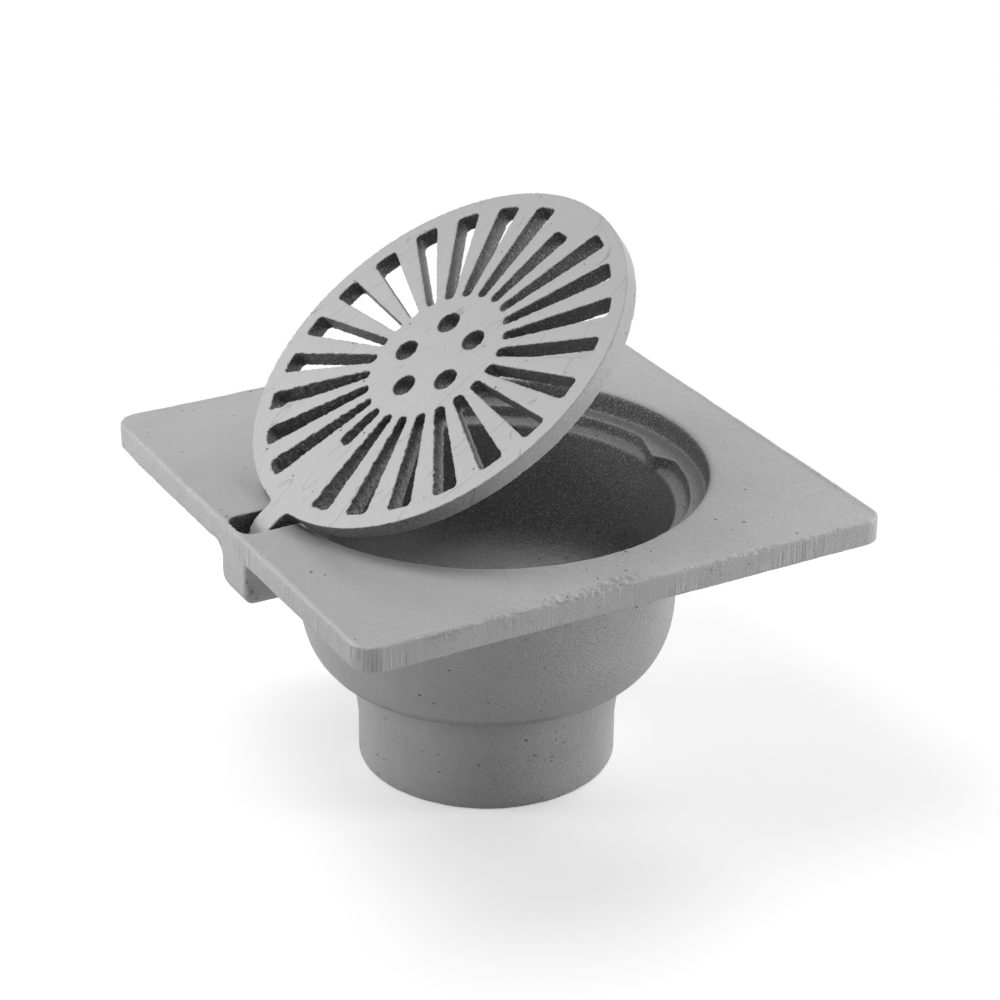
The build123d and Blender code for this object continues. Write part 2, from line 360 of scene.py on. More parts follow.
@dataclass(frozen=True)
class CastSkin:
    """How far a casting's surface strays from its pattern, some of it outwards and most inwards, in metres."""

    voxel: float
    wave_size: float = 0.045
    wave_depth: float = 0.0005
    ripple_size: float = 0.011
    ripple_depth: float = 0.00028
    grain_size: float = 0.0030
    grain_depth: float = 0.00016
    nick_size: float = 0.0030
    nick_depth: float = 0.00055
    edge_reach: float = 0.00062
    blur_steps: int = 6
    proud: float = 0.38
    seed: float = 3.0
    triangles: int = 190000

    @staticmethod
    @cache
    def tree() -> bpy.types.NodeTree:
        """Builds the tree that roughens a mesh along its normals and marks its edges.

        Returns:
            The geometry tree.
        """
        sketch, given, leave = new_tree(
            "cast_skin",
            Shape.MESH,
            {
                "Geometry": "Geometry",
                "Wave Size": 0.03,
                "Wave Depth": 0.0005,
                "Ripple Size": 0.01,
                "Ripple Depth": 0.0003,
                "Grain Size": 0.003,
                "Grain Depth": 0.0001,
                "Nick Size": 0.004,
                "Nick Depth": 0.0007,
                "Edge Reach": 0.0007,
                "Blur Steps": 4,
                "Proud": 0.25,
                "Seed": 0.0,
                "Finish": "Material",
            },
            {"Geometry": "Geometry"},
        )
        place = sketch.add("GeometryNodeInputPosition").outputs[0]
        normal = sketch.add("GeometryNodeInputNormal").outputs[0]
        offset = sketch.joined(given["Seed"], given["Seed"], given["Seed"])
        spot = sketch.vector("ADD", place, offset).outputs[0]
        blurred = sketch.add("GeometryNodeBlurAttribute", data_type="FLOAT_VECTOR")
        sketch.feed(next(s for s in blurred.inputs if s.type == "VECTOR" and s.enabled), place)
        sketch.feed(blurred.inputs["Iterations"], given["Blur Steps"])
        soft = next(s for s in blurred.outputs if s.type == "VECTOR" and s.enabled)
        away = sketch.vector("SUBTRACT", place, soft).outputs[0]
        bulge = sketch.vector("DOT_PRODUCT", away, normal).outputs["Value"]
        edge = sketch.span(bulge, 0.0, given["Edge Reach"])
        # hollow marks concave places, which the material darkens as painted shade.
        hollow = sketch.span(sketch.times(bulge, -1.0), 0.0, given["Edge Reach"])
        layers: list[Socket] = []
        for name, detail in (("Wave", 1.0), ("Ripple", 2.0), ("Grain", 2.0)):
            level = sketch.math("SUBTRACT", sketch.clouds(spot, given[f"{name} Size"], detail), given["Proud"])
            layers.append(sketch.times(level, given[f"{name} Depth"]))
        bites = sketch.span(sketch.clouds(spot, given["Nick Size"], 3.0, 0.6), 0.52, 0.74)
        nicks = sketch.times(sketch.times(bites, edge), given["Nick Depth"])
        wide = sketch.math("ADD", layers[0], layers[1])
        depth = sketch.math("ADD", wide, sketch.math("ADD", layers[2], nicks))
        inward = sketch.vector("SCALE", normal, scale=sketch.times(depth, -1.0)).outputs[0]
        flow: Socket = given["Geometry"]
        for title, value in (("edge", edge), ("hollow", hollow)):
            store = sketch.add(
                "GeometryNodeStoreNamedAttribute",
                {"Geometry": flow, "Name": title},
                data_type="FLOAT",
                domain="POINT",
            )
            sketch.feed(next(s for s in store.inputs if s.name == "Value" and s.enabled), value)
            flow = store.outputs[0]
        moved = sketch.add("GeometryNodeSetPosition", {"Geometry": flow, "Offset": inward})
        smooth = sketch.add("GeometryNodeSetShadeSmooth", {"Geometry": moved.outputs[0], "Shade Smooth": True})
        return end_tree(sketch, smooth.outputs[0], given["Finish"], leave)

    def cast(self, thing: bpy.types.Object, finish: bpy.types.Material) -> bpy.types.Object:
        """Remeshes an object evenly and gives it the uneven skin.

        Args:
            thing: The object, with a closed mesh.
            finish: Material of the skin.

        Returns:
            The same object as a plain mesh.
        """
        even = thing.modifiers.new("even", "REMESH")
        even.mode = "VOXEL"
        even.voxel_size = self.voxel
        even.use_smooth_shade = True
        skin = thing.modifiers.new("skin", "NODES")
        skin.node_group = self.tree()
        set_inputs(skin, self, {"Finish": finish})
        return baked(thing)

    def thin(self, thing: bpy.types.Object) -> bpy.types.Object:
        """Takes out triangles where the surface is flat, down to the skin's own number.

        Args:
            thing: The object.

        Returns:
            The same object as a plain mesh.
        """
        thing.data.calc_loop_triangles()
        count = len(thing.data.loop_triangles)
        if count > self.triangles:
            fewer = thing.modifiers.new("fewer", "DECIMATE")
            fewer.ratio = self.triangles / count
            baked(thing)
        return thing


def nearness(points: np.ndarray, middle: Point, reach: Point, steepness: float) -> np.ndarray:
    """How near each corner is to the middle of a spot.

    Args:
        points: Corners of the mesh.
        middle: The spot's middle.
        reach: How far the spot reaches along each axis.
        steepness: How fast the share grows from the spot's edge.

    Returns:
        Numbers from 0 outside the spot to 1 in its middle.
    """
    away = (points - np.array(middle)) / np.array(reach)
    return np.clip(steepness - steepness * np.sum(away**2, axis=1), 0.0, 1.0)


@dataclass(frozen=True)
class Chip:
    """A broken spot: middle, reach, depth and size of its lumps, in metres. Burrs have a depth below 0."""

    middle: Point
    reach: Point
    depth: float
    size: float = 0.004

    def share(self, points: np.ndarray) -> np.ndarray:
        """How near each corner is to the middle: 1 there, 0 past the reach."""
        return nearness(points, self.middle, self.reach, 1.0)

    def cut(self, points: np.ndarray, normals: np.ndarray) -> np.ndarray:
        """Sinks or raises the corners round the spot.

        Args:
            points: Corners of the mesh.
            normals: Their normals.

        Returns:
            The changed corners.
        """
        share = self.share(points)
        for index in np.nonzero(share > 0)[0]:
            bite = noise.fractal(Vector(points[index]) / self.size, 0.8, 2.0, 4)
            sink = self.depth * share[index] * min(1.0, max(0.0, 0.35 + bite))
            points[index] -= normals[index] * sink
        return points


@dataclass(frozen=True)
class Wear:
    """A patch with many pits: its middle, its reach in metres and how strong it is."""

    middle: Point
    reach: Point
    strength: float = 1.0

    def share(self, points: np.ndarray) -> np.ndarray:
        """Strength of the wear at each corner."""
        return nearness(points, self.middle, self.reach, 1.4) * self.strength


@dataclass(frozen=True)
class Melt:
    """A spot where the metal ran smooth: its middle, its reach in metres and how many times it is smoothed."""

    middle: Point
    reach: Point
    steps: int

    def soften(self, points: np.ndarray, edges: np.ndarray) -> np.ndarray:
        """Moves the corners of the spot towards their neighbours, most of all in its middle.

        Args:
            points: Corners of the mesh.
            edges: Pairs of corners that are joined.

        Returns:
            The changed corners.
        """
        share = nearness(points, self.middle, self.reach, 1.5)
        pairs = edges[np.max(share[edges], axis=1) > 0.0]
        count = np.bincount(pairs.ravel(), minlength=len(points)).astype(float)
        for _ in range(self.steps):
            total = np.zeros_like(points)
            np.add.at(total, pairs[:, 0], points[pairs[:, 1]])
            np.add.at(total, pairs[:, 1], points[pairs[:, 0]])
            middle = total / np.maximum(count, 1.0)[:, None]
            softer = points + (middle - points) * 0.5 * share[:, None]
            points = np.where((share * count)[:, None] > 0.0, softer, points)
        return points


def smooth_share(values: np.ndarray, low: float, high: float) -> np.ndarray:
    """Share from 0 at one value to 1 at another, eased at both ends."""
    share = np.clip((values - low) / (high - low), 0.0, 1.0)
    return share * share * (3.0 - 2.0 * share)


def across_view(points: np.ndarray) -> np.ndarray:
    """Place of each corner from the left to the right of the camera's view."""
    return points[:, 0] * VIEW_RIGHT[0] + points[:, 1] * VIEW_RIGHT[1]


def from_middle(points: np.ndarray, normals: np.ndarray) -> tuple[np.ndarray, np.ndarray]:
    """Measures corners from the upright line through mouth and bowl.

    Args:
        points: Corners of the mesh.
        normals: Their normals.

    Returns:
        Distance of each corner from the line, and how far its normal points away from the line.
    """
    radius = np.hypot(points[:, 0], points[:, 1])
    along = points[:, 0] * normals[:, 0] + points[:, 1] * normals[:, 1]
    return radius, along / np.maximum(radius, TINY)


# Shader groups shared by the finishes


@cache
def uneven_tone() -> bpy.types.NodeTree:
    """Group for slow changes of tone over a casting: a factor round one.

    Returns:
        The shader group.
    """
    sketch, given, leave = new_tree(
        "uneven_tone",
        Shape.SURFACE,
        {"Vector": "Vector", "Broad": 0.06, "Fine": 0.004, "Amount": 0.1},
        {"Shade": "Float"},
    )
    broad = sketch.clouds(given["Vector"], given["Broad"], 2.0)
    fine = sketch.clouds(given["Vector"], given["Fine"], 2.0, 0.6)
    both = sketch.math("ADD", sketch.times(broad, 0.6), sketch.times(fine, 0.4))
    swing = sketch.times(sketch.math("SUBTRACT", both, 0.5), sketch.times(given["Amount"], 4.0))
    sketch.feed(leave.inputs["Shade"], sketch.math("ADD", swing, 1.0))
    return sketch.tree


@cache
def sand_grain() -> bpy.types.NodeTree:
    """Group for the sandy grain of a casting: its height, and its light and dark as a swing round zero.

    Returns:
        The shader group.
    """
    sketch, given, leave = new_tree(
        "sand_grain",
        Shape.SURFACE,
        {"Vector": "Vector", "Size": 0.0012, "Roughness": 0.65},
        {"Height": "Float", "Swing": "Float"},
    )
    scale = sketch.math("DIVIDE", 1.0, given["Size"])
    grains = sketch.add(
        "ShaderNodeTexNoise",
        {"Vector": given["Vector"], "Scale": scale, "Detail": 2.0, "Roughness": given["Roughness"]},
    )
    sketch.feed(leave.inputs["Height"], grains.outputs[0])
    swing = sketch.times(sketch.math("SUBTRACT", grains.outputs[0], 0.5), 4.0)
    sketch.feed(leave.inputs["Swing"], swing)
    return sketch.tree


@cache
def blow_holes() -> bpy.types.NodeTree:
    """Group for small pits left by gas in a casting: a mask of the spots.

    Returns:
        The shader group.
    """
    sketch, given, leave = new_tree(
        "blow_holes",
        Shape.SURFACE,
        {"Vector": "Vector", "Spacing": 0.006, "Share": 0.3, "Size": 0.12},
        {"Mask": "Float"},
    )
    bent = sketch.add("ShaderNodeTexNoise", {"Vector": given["Vector"], "Scale": 900.0, "Detail": 1.0})
    level = sketch.vector("SUBTRACT", bent.outputs["Color"], (0.5, 0.5, 0.5)).outputs[0]
    shift = sketch.vector("SCALE", level, scale=0.0011).outputs[0]
    place = sketch.vector("ADD", given["Vector"], shift).outputs[0]
    cells = sketch.add(
        "ShaderNodeTexVoronoi",
        {"Vector": place, "Scale": sketch.math("DIVIDE", 1.0, given["Spacing"]), "Randomness": 1.0},
    )
    chance = sketch.add("ShaderNodeSeparateColor", {"Color": cells.outputs["Color"]})
    chosen = sketch.math("LESS_THAN", chance.outputs[0], given["Share"])
    width = sketch.times(given["Size"], sketch.math("MULTIPLY_ADD", chance.outputs[1], 0.9, 0.35))
    inside = sketch.span(cells.outputs["Distance"], width, sketch.times(width, 0.45))
    sketch.feed(leave.inputs["Mask"], sketch.times(inside, chosen))
    return sketch.tree


@cache
def flow_lines() -> bpy.types.NodeTree:
    """Group for hair-thin curved lines where the iron met in the mould: a mask of the lines.

    Returns:
        The shader group.
    """
    sketch, given, leave = new_tree(
        "flow_lines",
        Shape.SURFACE,
        {
            "Vector": "Vector",
            "Size": 0.03,
            "Stretch": 0.3,
            "Width": 0.012,
            "Share": 0.5,
        },
        {"Mask": "Float"},
    )
    along = sketch.joined(given["Stretch"], 1.0, 1.0)
    place = sketch.vector("MULTIPLY", given["Vector"], along).outputs[0]
    swirl = sketch.clouds(place, given["Size"], 2.0, 0.35)
    level = sketch.math("PINGPONG", swirl, 0.09)
    line = sketch.span(level, given["Width"], 0.0)
    patches = sketch.clouds(given["Vector"], sketch.times(given["Size"], 0.40), 1.0)
    limit = sketch.math("SUBTRACT", 1.0, given["Share"])
    shown = sketch.span(patches, limit, sketch.math("ADD", limit, 0.06))
    sketch.feed(leave.inputs["Mask"], sketch.times(line, shown))
    return sketch.tree


@cache
def tool_marks() -> bpy.types.NodeTree:
    """Group for marks of file and grinder, upright on side faces and along X on the top: their light and dark.

    Returns:
        The shader group.
    """
    sketch, given, leave = new_tree(
        "tool_marks",
        Shape.SURFACE,
        {
            "Vector": "Vector",
            "Normal": "Vector",
            "Width": 0.0009,
            "Low": 0.128,
            "Share": 0.5,
            "Top": 0.15,
        },
        {"Swing": "Float"},
    )
    x, y, z = sketch.split(given["Vector"])
    slope = sketch.split(given["Normal"])[2]
    level = sketch.span(slope, 0.75, 0.95)
    upright = sketch.span(sketch.math("ABSOLUTE", slope), 0.5, 0.2)
    above = sketch.span(z, given["Low"], sketch.math("ADD", given["Low"], 0.0015))
    long_x = sketch.math("MULTIPLY_ADD", level, -0.94, 1.0)
    long_z = sketch.math("MULTIPLY_ADD", upright, -0.97, 1.0)
    flat = sketch.joined(sketch.times(x, long_x), y, sketch.times(z, long_z))
    streaks = sketch.clouds(flat, given["Width"], 1.0, 0.7)
    patches = sketch.clouds(given["Vector"], 0.018, 1.0)
    limit = sketch.math("SUBTRACT", 1.0, given["Share"])
    shown = sketch.span(patches, limit, sketch.math("ADD", limit, 0.12), 0.18, 1.0)
    area = sketch.math("MULTIPLY_ADD", upright, shown, sketch.times(level, given["Top"]))
    area = sketch.times(area, above)
    swing = sketch.times(sketch.math("SUBTRACT", streaks, 0.5), 4.0)
    sketch.feed(leave.inputs["Swing"], sketch.times(swing, area))
    return sketch.tree


class Surface:
    """A material in the making: a sketch with a Principled shader at its end."""

    def __init__(self, name: str) -> None:
        """Starts an empty material.

        Args:
            name: Name of the material.
        """
        self.material = bpy.data.materials.new(name)
        self.material.use_nodes = True
        self.sketch = Sketch(self.material.node_tree)
        self.shader = next(n for n in self.sketch.tree.nodes if n.type == "BSDF_PRINCIPLED")
        self.place = self.sketch.add("ShaderNodeTexCoord").outputs["Object"]
        self.normal = self.sketch.add("ShaderNodeNewGeometry").outputs["Normal"]

    def group(self, tree: bpy.types.NodeTree, inputs: dict[str, object]) -> bpy.types.Node:
        """Places a shared group.

        Args:
            tree: The group.
            inputs: Its values.

        Returns:
            The group's node.
        """
        node = self.sketch.add("ShaderNodeGroup", node_tree=tree)
        for title, value in inputs.items():
            self.sketch.feed(node.inputs[title], value)
        return node

    def value(self, name: str) -> Socket:
        """Reads a named number of the piece's own mesh."""
        return self.sketch.add("ShaderNodeAttribute", attribute_name=name).outputs["Fac"]

    def blend(self, first: object, second: object, share: object) -> Socket:
        """Mixes two colours.

        Args:
            first: Colour at share 0.
            second: Colour at share 1.
            share: The share, from 0 to 1.

        Returns:
            The mixed colour.
        """
        node = self.sketch.add("ShaderNodeMix", data_type="RGBA", clamp_factor=True)
        self.sketch.feed(node.inputs[0], share)
        self.sketch.feed(node.inputs[6], first)
        self.sketch.feed(node.inputs[7], second)
        return node.outputs[2]

    def shaded(self, colour: object, factor: object) -> Socket:
        """Makes a colour lighter or darker.

        Args:
            colour: The colour.
            factor: What it is multiplied by.

        Returns:
            The changed colour.
        """
        return self.sketch.vector("SCALE", colour, scale=factor).outputs[0]

    def relief(self, layers: list[tuple[Socket, object]]) -> None:
        """Gives the surface its small heights, added up in one bump.

        Args:
            layers: Height sockets, each with how deep it is in millimetres.
        """
        total: object = 0.0
        for height, depth in layers:
            total = self.sketch.math("MULTIPLY_ADD", height, depth, total)
        bump = self.sketch.add("ShaderNodeBump", {"Height": total, "Strength": 1.0, "Distance": MM})
        self.sketch.feed(self.shader.inputs["Normal"], bump.outputs[0])


def grey(tone: float) -> tuple[float, float, float, float]:
    """A neutral colour of one tone."""
    return (tone, tone, tone, 1.0)


@dataclass(frozen=True)
class GreyCasting:
    """Light grey cast iron, matt: sand grain, dark rough hollows with painted glints, pits, painted shade in
    creases and painted highlights along edges.
    """

    name: str
    tone: float = 0.42
    # Tone of the painted highlight along edges.
    edge_tone: float = 0.60
    inside_tone: float = 0.10
    # Tone of the painted glints in rough places.
    glint_tone: float = 0.55
    pit_tone: float = 0.045
    uneven: float = 0.06
    speckle: float = 0.07
    grain: float = 0.0009
    fleck_grain: float = 0.0009
    pit_spacing: float = 0.0028
    pit_share: float = 0.12
    pit_size: float = 0.165
    line_size: float = 0.0
    line_turn: float = 0.0
    line_share: float = 0.4
    line_width: float = 0.005
    line_dark: float = 0.34
    edge_share: float = 0.65
    glint_share: float = 0.58
    pit_dark: float = 0.8
    pit_worn: float = 0.9
    pit_sandy: float = 0.30
    pit_height: float = -0.5
    coarse_speckle: float = 0.12
    inside_speckle: float = 0.24
    inside_gloss: float = -0.14
    soft_size: float = 0.0045
    soft_height: float = 0.25
    grain_height: float = 0.16
    coarse_height: float = 0.30
    fleck_height: float = 0.50
    line_height: float = -0.14
    # Painted shade in concave places.
    hollow_shade: float = -0.40
    mark_tone: float = 0.24
    mark_height: float = 0.13
    marks_low: float = 0.0
    plate_half: float = 0.0
    plate_round: float = 0.008
    plate_top: float = 0.1405
    roughness: float = 0.55
    metallic: float = 0.2

    def highlight_line(self, surface: Surface, grain: Socket) -> Socket:
        """Marks the thin painted highlight line along the plate's top edges.

        Args:
            surface: The material in the making.
            grain: Height of the sand grain, which breaks the line.

        Returns:
            A mask of the line.
        """
        sketch = surface.sketch
        x, y, z = sketch.split(surface.place)
        core = self.plate_half - self.plate_round
        across = [sketch.math("SUBTRACT", sketch.math("ABSOLUTE", side), core) for side in (x, y)]
        corner = sketch.joined(*(sketch.math("MAXIMUM", side, 0.0) for side in across))
        round_part = sketch.vector("LENGTH", corner).outputs["Value"]
        flat_part = sketch.math("MINIMUM", sketch.math("MAXIMUM", *across), 0.0)
        inset = sketch.math("SUBTRACT", sketch.math("ADD", round_part, flat_part), self.plate_round)
        away = sketch.joined(inset, sketch.math("SUBTRACT", z, self.plate_top))
        distance = sketch.vector("LENGTH", away).outputs["Value"]
        bent = sketch.math("MULTIPLY_ADD", sketch.clouds(surface.place, 0.006, 2.0), 0.0010, distance)
        line = sketch.span(bent, 0.00125, 0.00085)
        return sketch.times(line, sketch.span(grain, 0.34, 0.58))

    def build(self) -> bpy.types.Material:
        """Makes the material.

        Returns:
            The material.
        """
        surface = Surface(self.name)
        sketch = surface.sketch
        edge = surface.value("edge")
        # inside darkens the hollows; on the grating it also carries painted shade on the rim's side and the
        # tongue.
        inside = surface.value("inside")
        if self.plate_half:
            level = sketch.split(surface.place)[2]
            below = sketch.span(level, self.plate_top - 0.4 * MM, self.plate_top - 1.1 * MM)
            inside = sketch.times(inside, below)
        sandy = surface.value("sandy")
        worn = surface.value("worn")
        hollow = surface.value("hollow")
        soiled = surface.value("soiled")
        coarse = sketch.math("MAXIMUM", sandy, inside)
        shades = {"Vector": surface.place, "Broad": 0.030, "Fine": 0.0035, "Amount": self.uneven}
        tone = surface.group(uneven_tone(), shades)
        grain = surface.group(sand_grain(), {"Vector": surface.place, "Size": self.grain})
        sparks = surface.group(sand_grain(), {"Vector": surface.place, "Size": self.fleck_grain})
        height = grain.outputs["Height"]
        share = sketch.math("MULTIPLY_ADD", sandy, self.pit_sandy, self.pit_share)
        share = sketch.math("MULTIPLY_ADD", worn, self.pit_worn, share)
        pits = surface.group(
            blow_holes(),
            {
                "Vector": sketch.vector("MULTIPLY", surface.place, (0.62, 0.62, 1.0)).outputs[0],
                "Spacing": self.pit_spacing,
                "Share": share,
                "Size": self.pit_size,
            },
        )
        rough = sketch.math("MAXIMUM", inside, worn)
        crumbs = sketch.math(
            "MAXIMUM",
            sketch.times(sketch.span(height, 0.37, 0.31), sketch.times(sandy, 0.35)),
            sketch.times(sketch.span(height, 0.48, 0.42), sketch.math("POWER", worn, 3.0)),
        )
        # Painted glints: light specks where the surface is rough.
        painted_glints = sketch.times(sketch.span(sparks.outputs["Height"], 0.58, 0.64), rough)
        colour = surface.blend(grey(self.tone), grey(self.inside_tone), inside)
        swing = sketch.math("MULTIPLY_ADD", coarse, self.coarse_speckle, self.speckle)
        swing = sketch.math("MULTIPLY_ADD", inside, self.inside_speckle, swing)
        shade = sketch.math("MULTIPLY_ADD", grain.outputs["Swing"], swing, tone.outputs["Shade"])
        heights: list[tuple[Socket, object]] = [
            (sketch.clouds(surface.place, self.soft_size, 2.0, 0.55), self.soft_height),
            (height, sketch.math("MULTIPLY_ADD", coarse, self.coarse_height, self.grain_height)),
            (sparks.outputs["Height"], sketch.times(rough, self.fleck_height)),
            (pits.outputs["Mask"], self.pit_height),
        ]
        if self.marks_low:
            facing = {"Vector": surface.place, "Normal": surface.normal}
            marks = surface.group(tool_marks(), facing | {"Low": self.marks_low, "Share": 0.52})
            shade = sketch.math("MULTIPLY_ADD", marks.outputs["Swing"], self.mark_tone, shade)
            heights.append((marks.outputs["Swing"], self.mark_height))
        # Painted shade: concave places and creases are darkened.
        shade = sketch.times(shade, sketch.math("MULTIPLY_ADD", hollow, self.hollow_shade, 1.0))
        # Painted shade from the piece's mesh darkens the colour; below zero it is painted light.
        shade = sketch.times(shade, sketch.math("SUBTRACT", 1.0, soiled))
        colour = surface.shaded(colour, shade)
        # Painted highlight on convex edges, and on the plate along its top edges.
        edge_highlight = sketch.times(sketch.math("POWER", edge, 2.5), sketch.span(height, 0.35, 0.55))
        if self.plate_half:
            edge_highlight = sketch.math("MAXIMUM", edge_highlight, self.highlight_line(surface, height))
        colour = surface.blend(colour, grey(self.edge_tone), sketch.times(edge_highlight, self.edge_share))
        if self.line_size:
            tilt = {"Vector": surface.place, "Rotation": (0.0, self.line_turn, 0.0)}
            turned = sketch.add("ShaderNodeMapping", tilt).outputs[0]
            widths = {"Size": self.line_size, "Width": self.line_width, "Share": self.line_share}
            lines = surface.group(flow_lines(), {"Vector": turned} | widths)
            drawn = sketch.times(lines.outputs["Mask"], sketch.math("SUBTRACT", 1.0, inside))
            colour = surface.blend(colour, grey(self.pit_tone * 2.0), sketch.times(drawn, self.line_dark))
            heights.append((drawn, self.line_height))
        # Painted glints mixed into the colour.
        colour = surface.blend(colour, grey(self.glint_tone), sketch.times(painted_glints, self.glint_share))
        dark = sketch.math("MAXIMUM", sketch.times(pits.outputs["Mask"], self.pit_dark), crumbs)
        colour = surface.blend(colour, grey(self.pit_tone), dark)
        sketch.feed(surface.shader.inputs["Base Color"], colour)
        dull = sketch.math("MULTIPLY_ADD", height, 0.2, self.roughness - 0.1)
        dull = sketch.math("MULTIPLY_ADD", inside, self.inside_gloss, dull)
        sketch.feed(surface.shader.inputs["Roughness"], dull)
        surface.shader.inputs["Metallic"].default_value = self.metallic
        surface.relief(heights)
        return surface.material


@dataclass(frozen=True)
class DrawnSteel:
    """Plain drawn steel rod with fine lengthwise marks."""

    name: str
    tone: float = 0.40
    roughness: float = 0.42

    def build(self) -> bpy.types.Material:
        """Makes the material.

        Returns:
            The material.
        """
        surface = Surface(self.name)
        sketch = surface.sketch
        x, y, z = sketch.split(surface.place)
        marks = sketch.clouds(sketch.joined(x, sketch.times(y, 0.02), z), 0.0004, 2.0)
        shades = {"Vector": surface.place, "Broad": 0.012, "Fine": 0.001, "Amount": 0.12}
        tone = surface.group(uneven_tone(), shades)
        colour = surface.shaded((self.tone, self.tone, self.tone), tone.outputs["Shade"])
        sketch.feed(surface.shader.inputs["Base Color"], colour)
        dull = sketch.math("MULTIPLY_ADD", marks, 0.2, self.roughness - 0.1)
        sketch.feed(surface.shader.inputs["Roughness"], dull)
        surface.shader.inputs["Metallic"].default_value = 1.0
        surface.relief([(marks, 0.06)])
        return surface.material


# Pieces


@dataclass
class GullyBody:
    """The body casting: plate, mouth, bowl, spigot and hinge pocket."""

    node: str = "gully_body"
    voxel: float = 0.80 * MM
    plate_top: float = 140.5 * MM
    plate_edge: float = 125.0 * MM
    plate_thickness: float = 11.7 * MM
    mouth_radius: float = 96.7 * MM
    seat_depth: float = 10.6 * MM
    wall_dark: float = 0.88
    seat_light: float = 0.42
    bowl_dark: float = 0.76
    # Painted light on the bowl's upward-facing floor and its -X side.
    silt_light: float = 0.74
    crease_level: float = 50.0 * MM
    crease_drop: float = 4.0 * MM
    # Painted shade on the spigot below the shoulder, on the shoulder's downward faces and under the plate.
    crease_dark: float = 0.30
    lip_top: float = 70.0 * MM
    lip_dark: float = 0.26
    plate_shade_reach: float = 30.0 * MM
    plate_shade_dark: float = 0.20
    bowl_shade: float = 0.06
    # Painted light on the plate's front edge faces and on the bowl's sides.
    ground_light: float = 0.16
    ends_light: float = 0.13
    # Painted shadow of the open grating on the plate by the mouth.
    grating_shadow_dark: float = 0.62
    grating_shadow_fade: float = 0.04
    grating_shadow_reach: float = 14.0 * MM
    ridge_room: float = 0.45 * MM
    ridge_inset: float = 1.6 * MM
    ridge_width: float = 1.1 * MM
    ridge_height: float = 0.55 * MM
    swell_depth: float = 1.0 * MM
    pocket_ends: tuple[float, float] = (-123.3 * MM, -96.0 * MM)
    pocket_middle: float = -1.5 * MM
    pocket_half: float = 10.4 * MM
    pocket_depth: float = 29.1 * MM
    finish: GreyCasting = field(
        default_factory=lambda: GreyCasting("body_iron", marks_low=128.5 * MM, plate_half=125.0 * MM)
    )

    def skin(self) -> CastSkin:
        """Skin of this casting."""
        return CastSkin(voxel=self.voxel, seed=3.0)

    def chips(self) -> list[Chip]:
        """Broken spots and burrs along the plate's edges and rough metal on the hinge housing.

        Returns:
            The spots.
        """
        top = self.plate_top
        edge = self.plate_edge
        return [
            Chip((-0.026, -edge + 0.002, top), (0.026, 0.004, 0.002), 0.0018, 0.0020),
            Chip((-0.006, -edge + 0.004, top), (0.012, 0.005, 0.002), 0.0018, 0.0020),
            Chip((-0.062, -edge + 0.001, top), (0.014, 0.003, 0.002), 0.0013, 0.0018),
            Chip((-0.088, -edge, top - 0.001), (0.014, 0.003, 0.003), 0.0008, 0.0014),
            Chip((0.060, -edge, top), (0.045, 0.003, 0.002), 0.0006, 0.0018),
            Chip((-edge, 0.010, top), (0.003, 0.100, 0.002), 0.0006, 0.0018),
            Chip((-0.1225, -0.0163, 0.1150), (0.004, 0.003, 0.0070), 0.0009, 0.0011),
            Chip((-0.1243, -0.1185, 0.1350), (0.0022, 0.0030, 0.0080), 0.0009, 0.0100),
            Chip((-0.012, -edge + 0.003, top), (0.018, 0.003, 0.002), -0.0009, 0.0016),
            Chip((-0.036, -edge + 0.004, top), (0.009, 0.003, 0.002), -0.0008, 0.0014),
        ]

    def worn_spots(self) -> list[Wear]:
        """Patches with many pits.

        Returns:
            The patches.
        """
        top = self.plate_top
        edge = self.plate_edge
        return [
            Wear((-0.1244, -0.0160, 0.1207), (0.0016, 0.0020, 0.0022), 1.0),
            Wear((-0.1220, -0.0163, 0.1160), (0.0022, 0.0020, 0.0032), 1.0),
            Wear((-0.1195, -0.0160, 0.1112), (0.0030, 0.0030, 0.0020), 0.9),
            Wear((-0.012, -edge + 0.004, top), (0.024, 0.004, 0.003), 0.35),
            Wear((-0.088, -edge, top - 0.003), (0.010, 0.003, 0.005), 0.60),
            Wear((0.034, -edge, top - 0.006), (0.018, 0.003, 0.007), 0.45),
            Wear((0.006, -0.106, top), (0.020, 0.012, 0.003), 0.25),
            Wear((-edge, -0.040, top - 0.005), (0.003, 0.080, 0.008), 0.12),
            Wear((-0.118, -0.026, top), (0.008, 0.008, 0.003), 0.30),
            Wear((-0.121, 0.010, top - 0.002), (0.004, 0.010, 0.004), 0.50),
            Wear((-0.108, 0.080, top), (0.012, 0.030, 0.003), 0.20),
            Wear((0.020, -0.060, 0.100), (0.070, 0.060, 0.040), 0.15),
        ]

    def melts(self) -> list[Melt]:
        """Spots of the hinge housing where the metal ran smooth."""
        return [
            Melt((-0.1235, 0.0140, 0.1240), (0.0050, 0.0075, 0.0065), 60),
            Melt((-0.1245, -0.0163, 0.1160), (0.0040, 0.0030, 0.0130), 14),
        ]

    def swell(self, points: np.ndarray) -> np.ndarray:
        """Lets the plate's lower edge hang a little lower towards the hinge housing.

        Args:
            points: Corners of the mesh.

        Returns:
            The changed corners.
        """
        share = smooth_share(-points[:, 0], 0.1140, 0.1225)
        share *= smooth_share(self.plate_top - points[:, 2], 0.0085, 0.0110)
        share *= smooth_share(points[:, 1], 0.008, 0.022) * (1.0 - smooth_share(points[:, 1], 0.095, 0.118))
        points[:, 2] -= self.swell_depth * share * (points[:, 2] > 0.120)
        return points

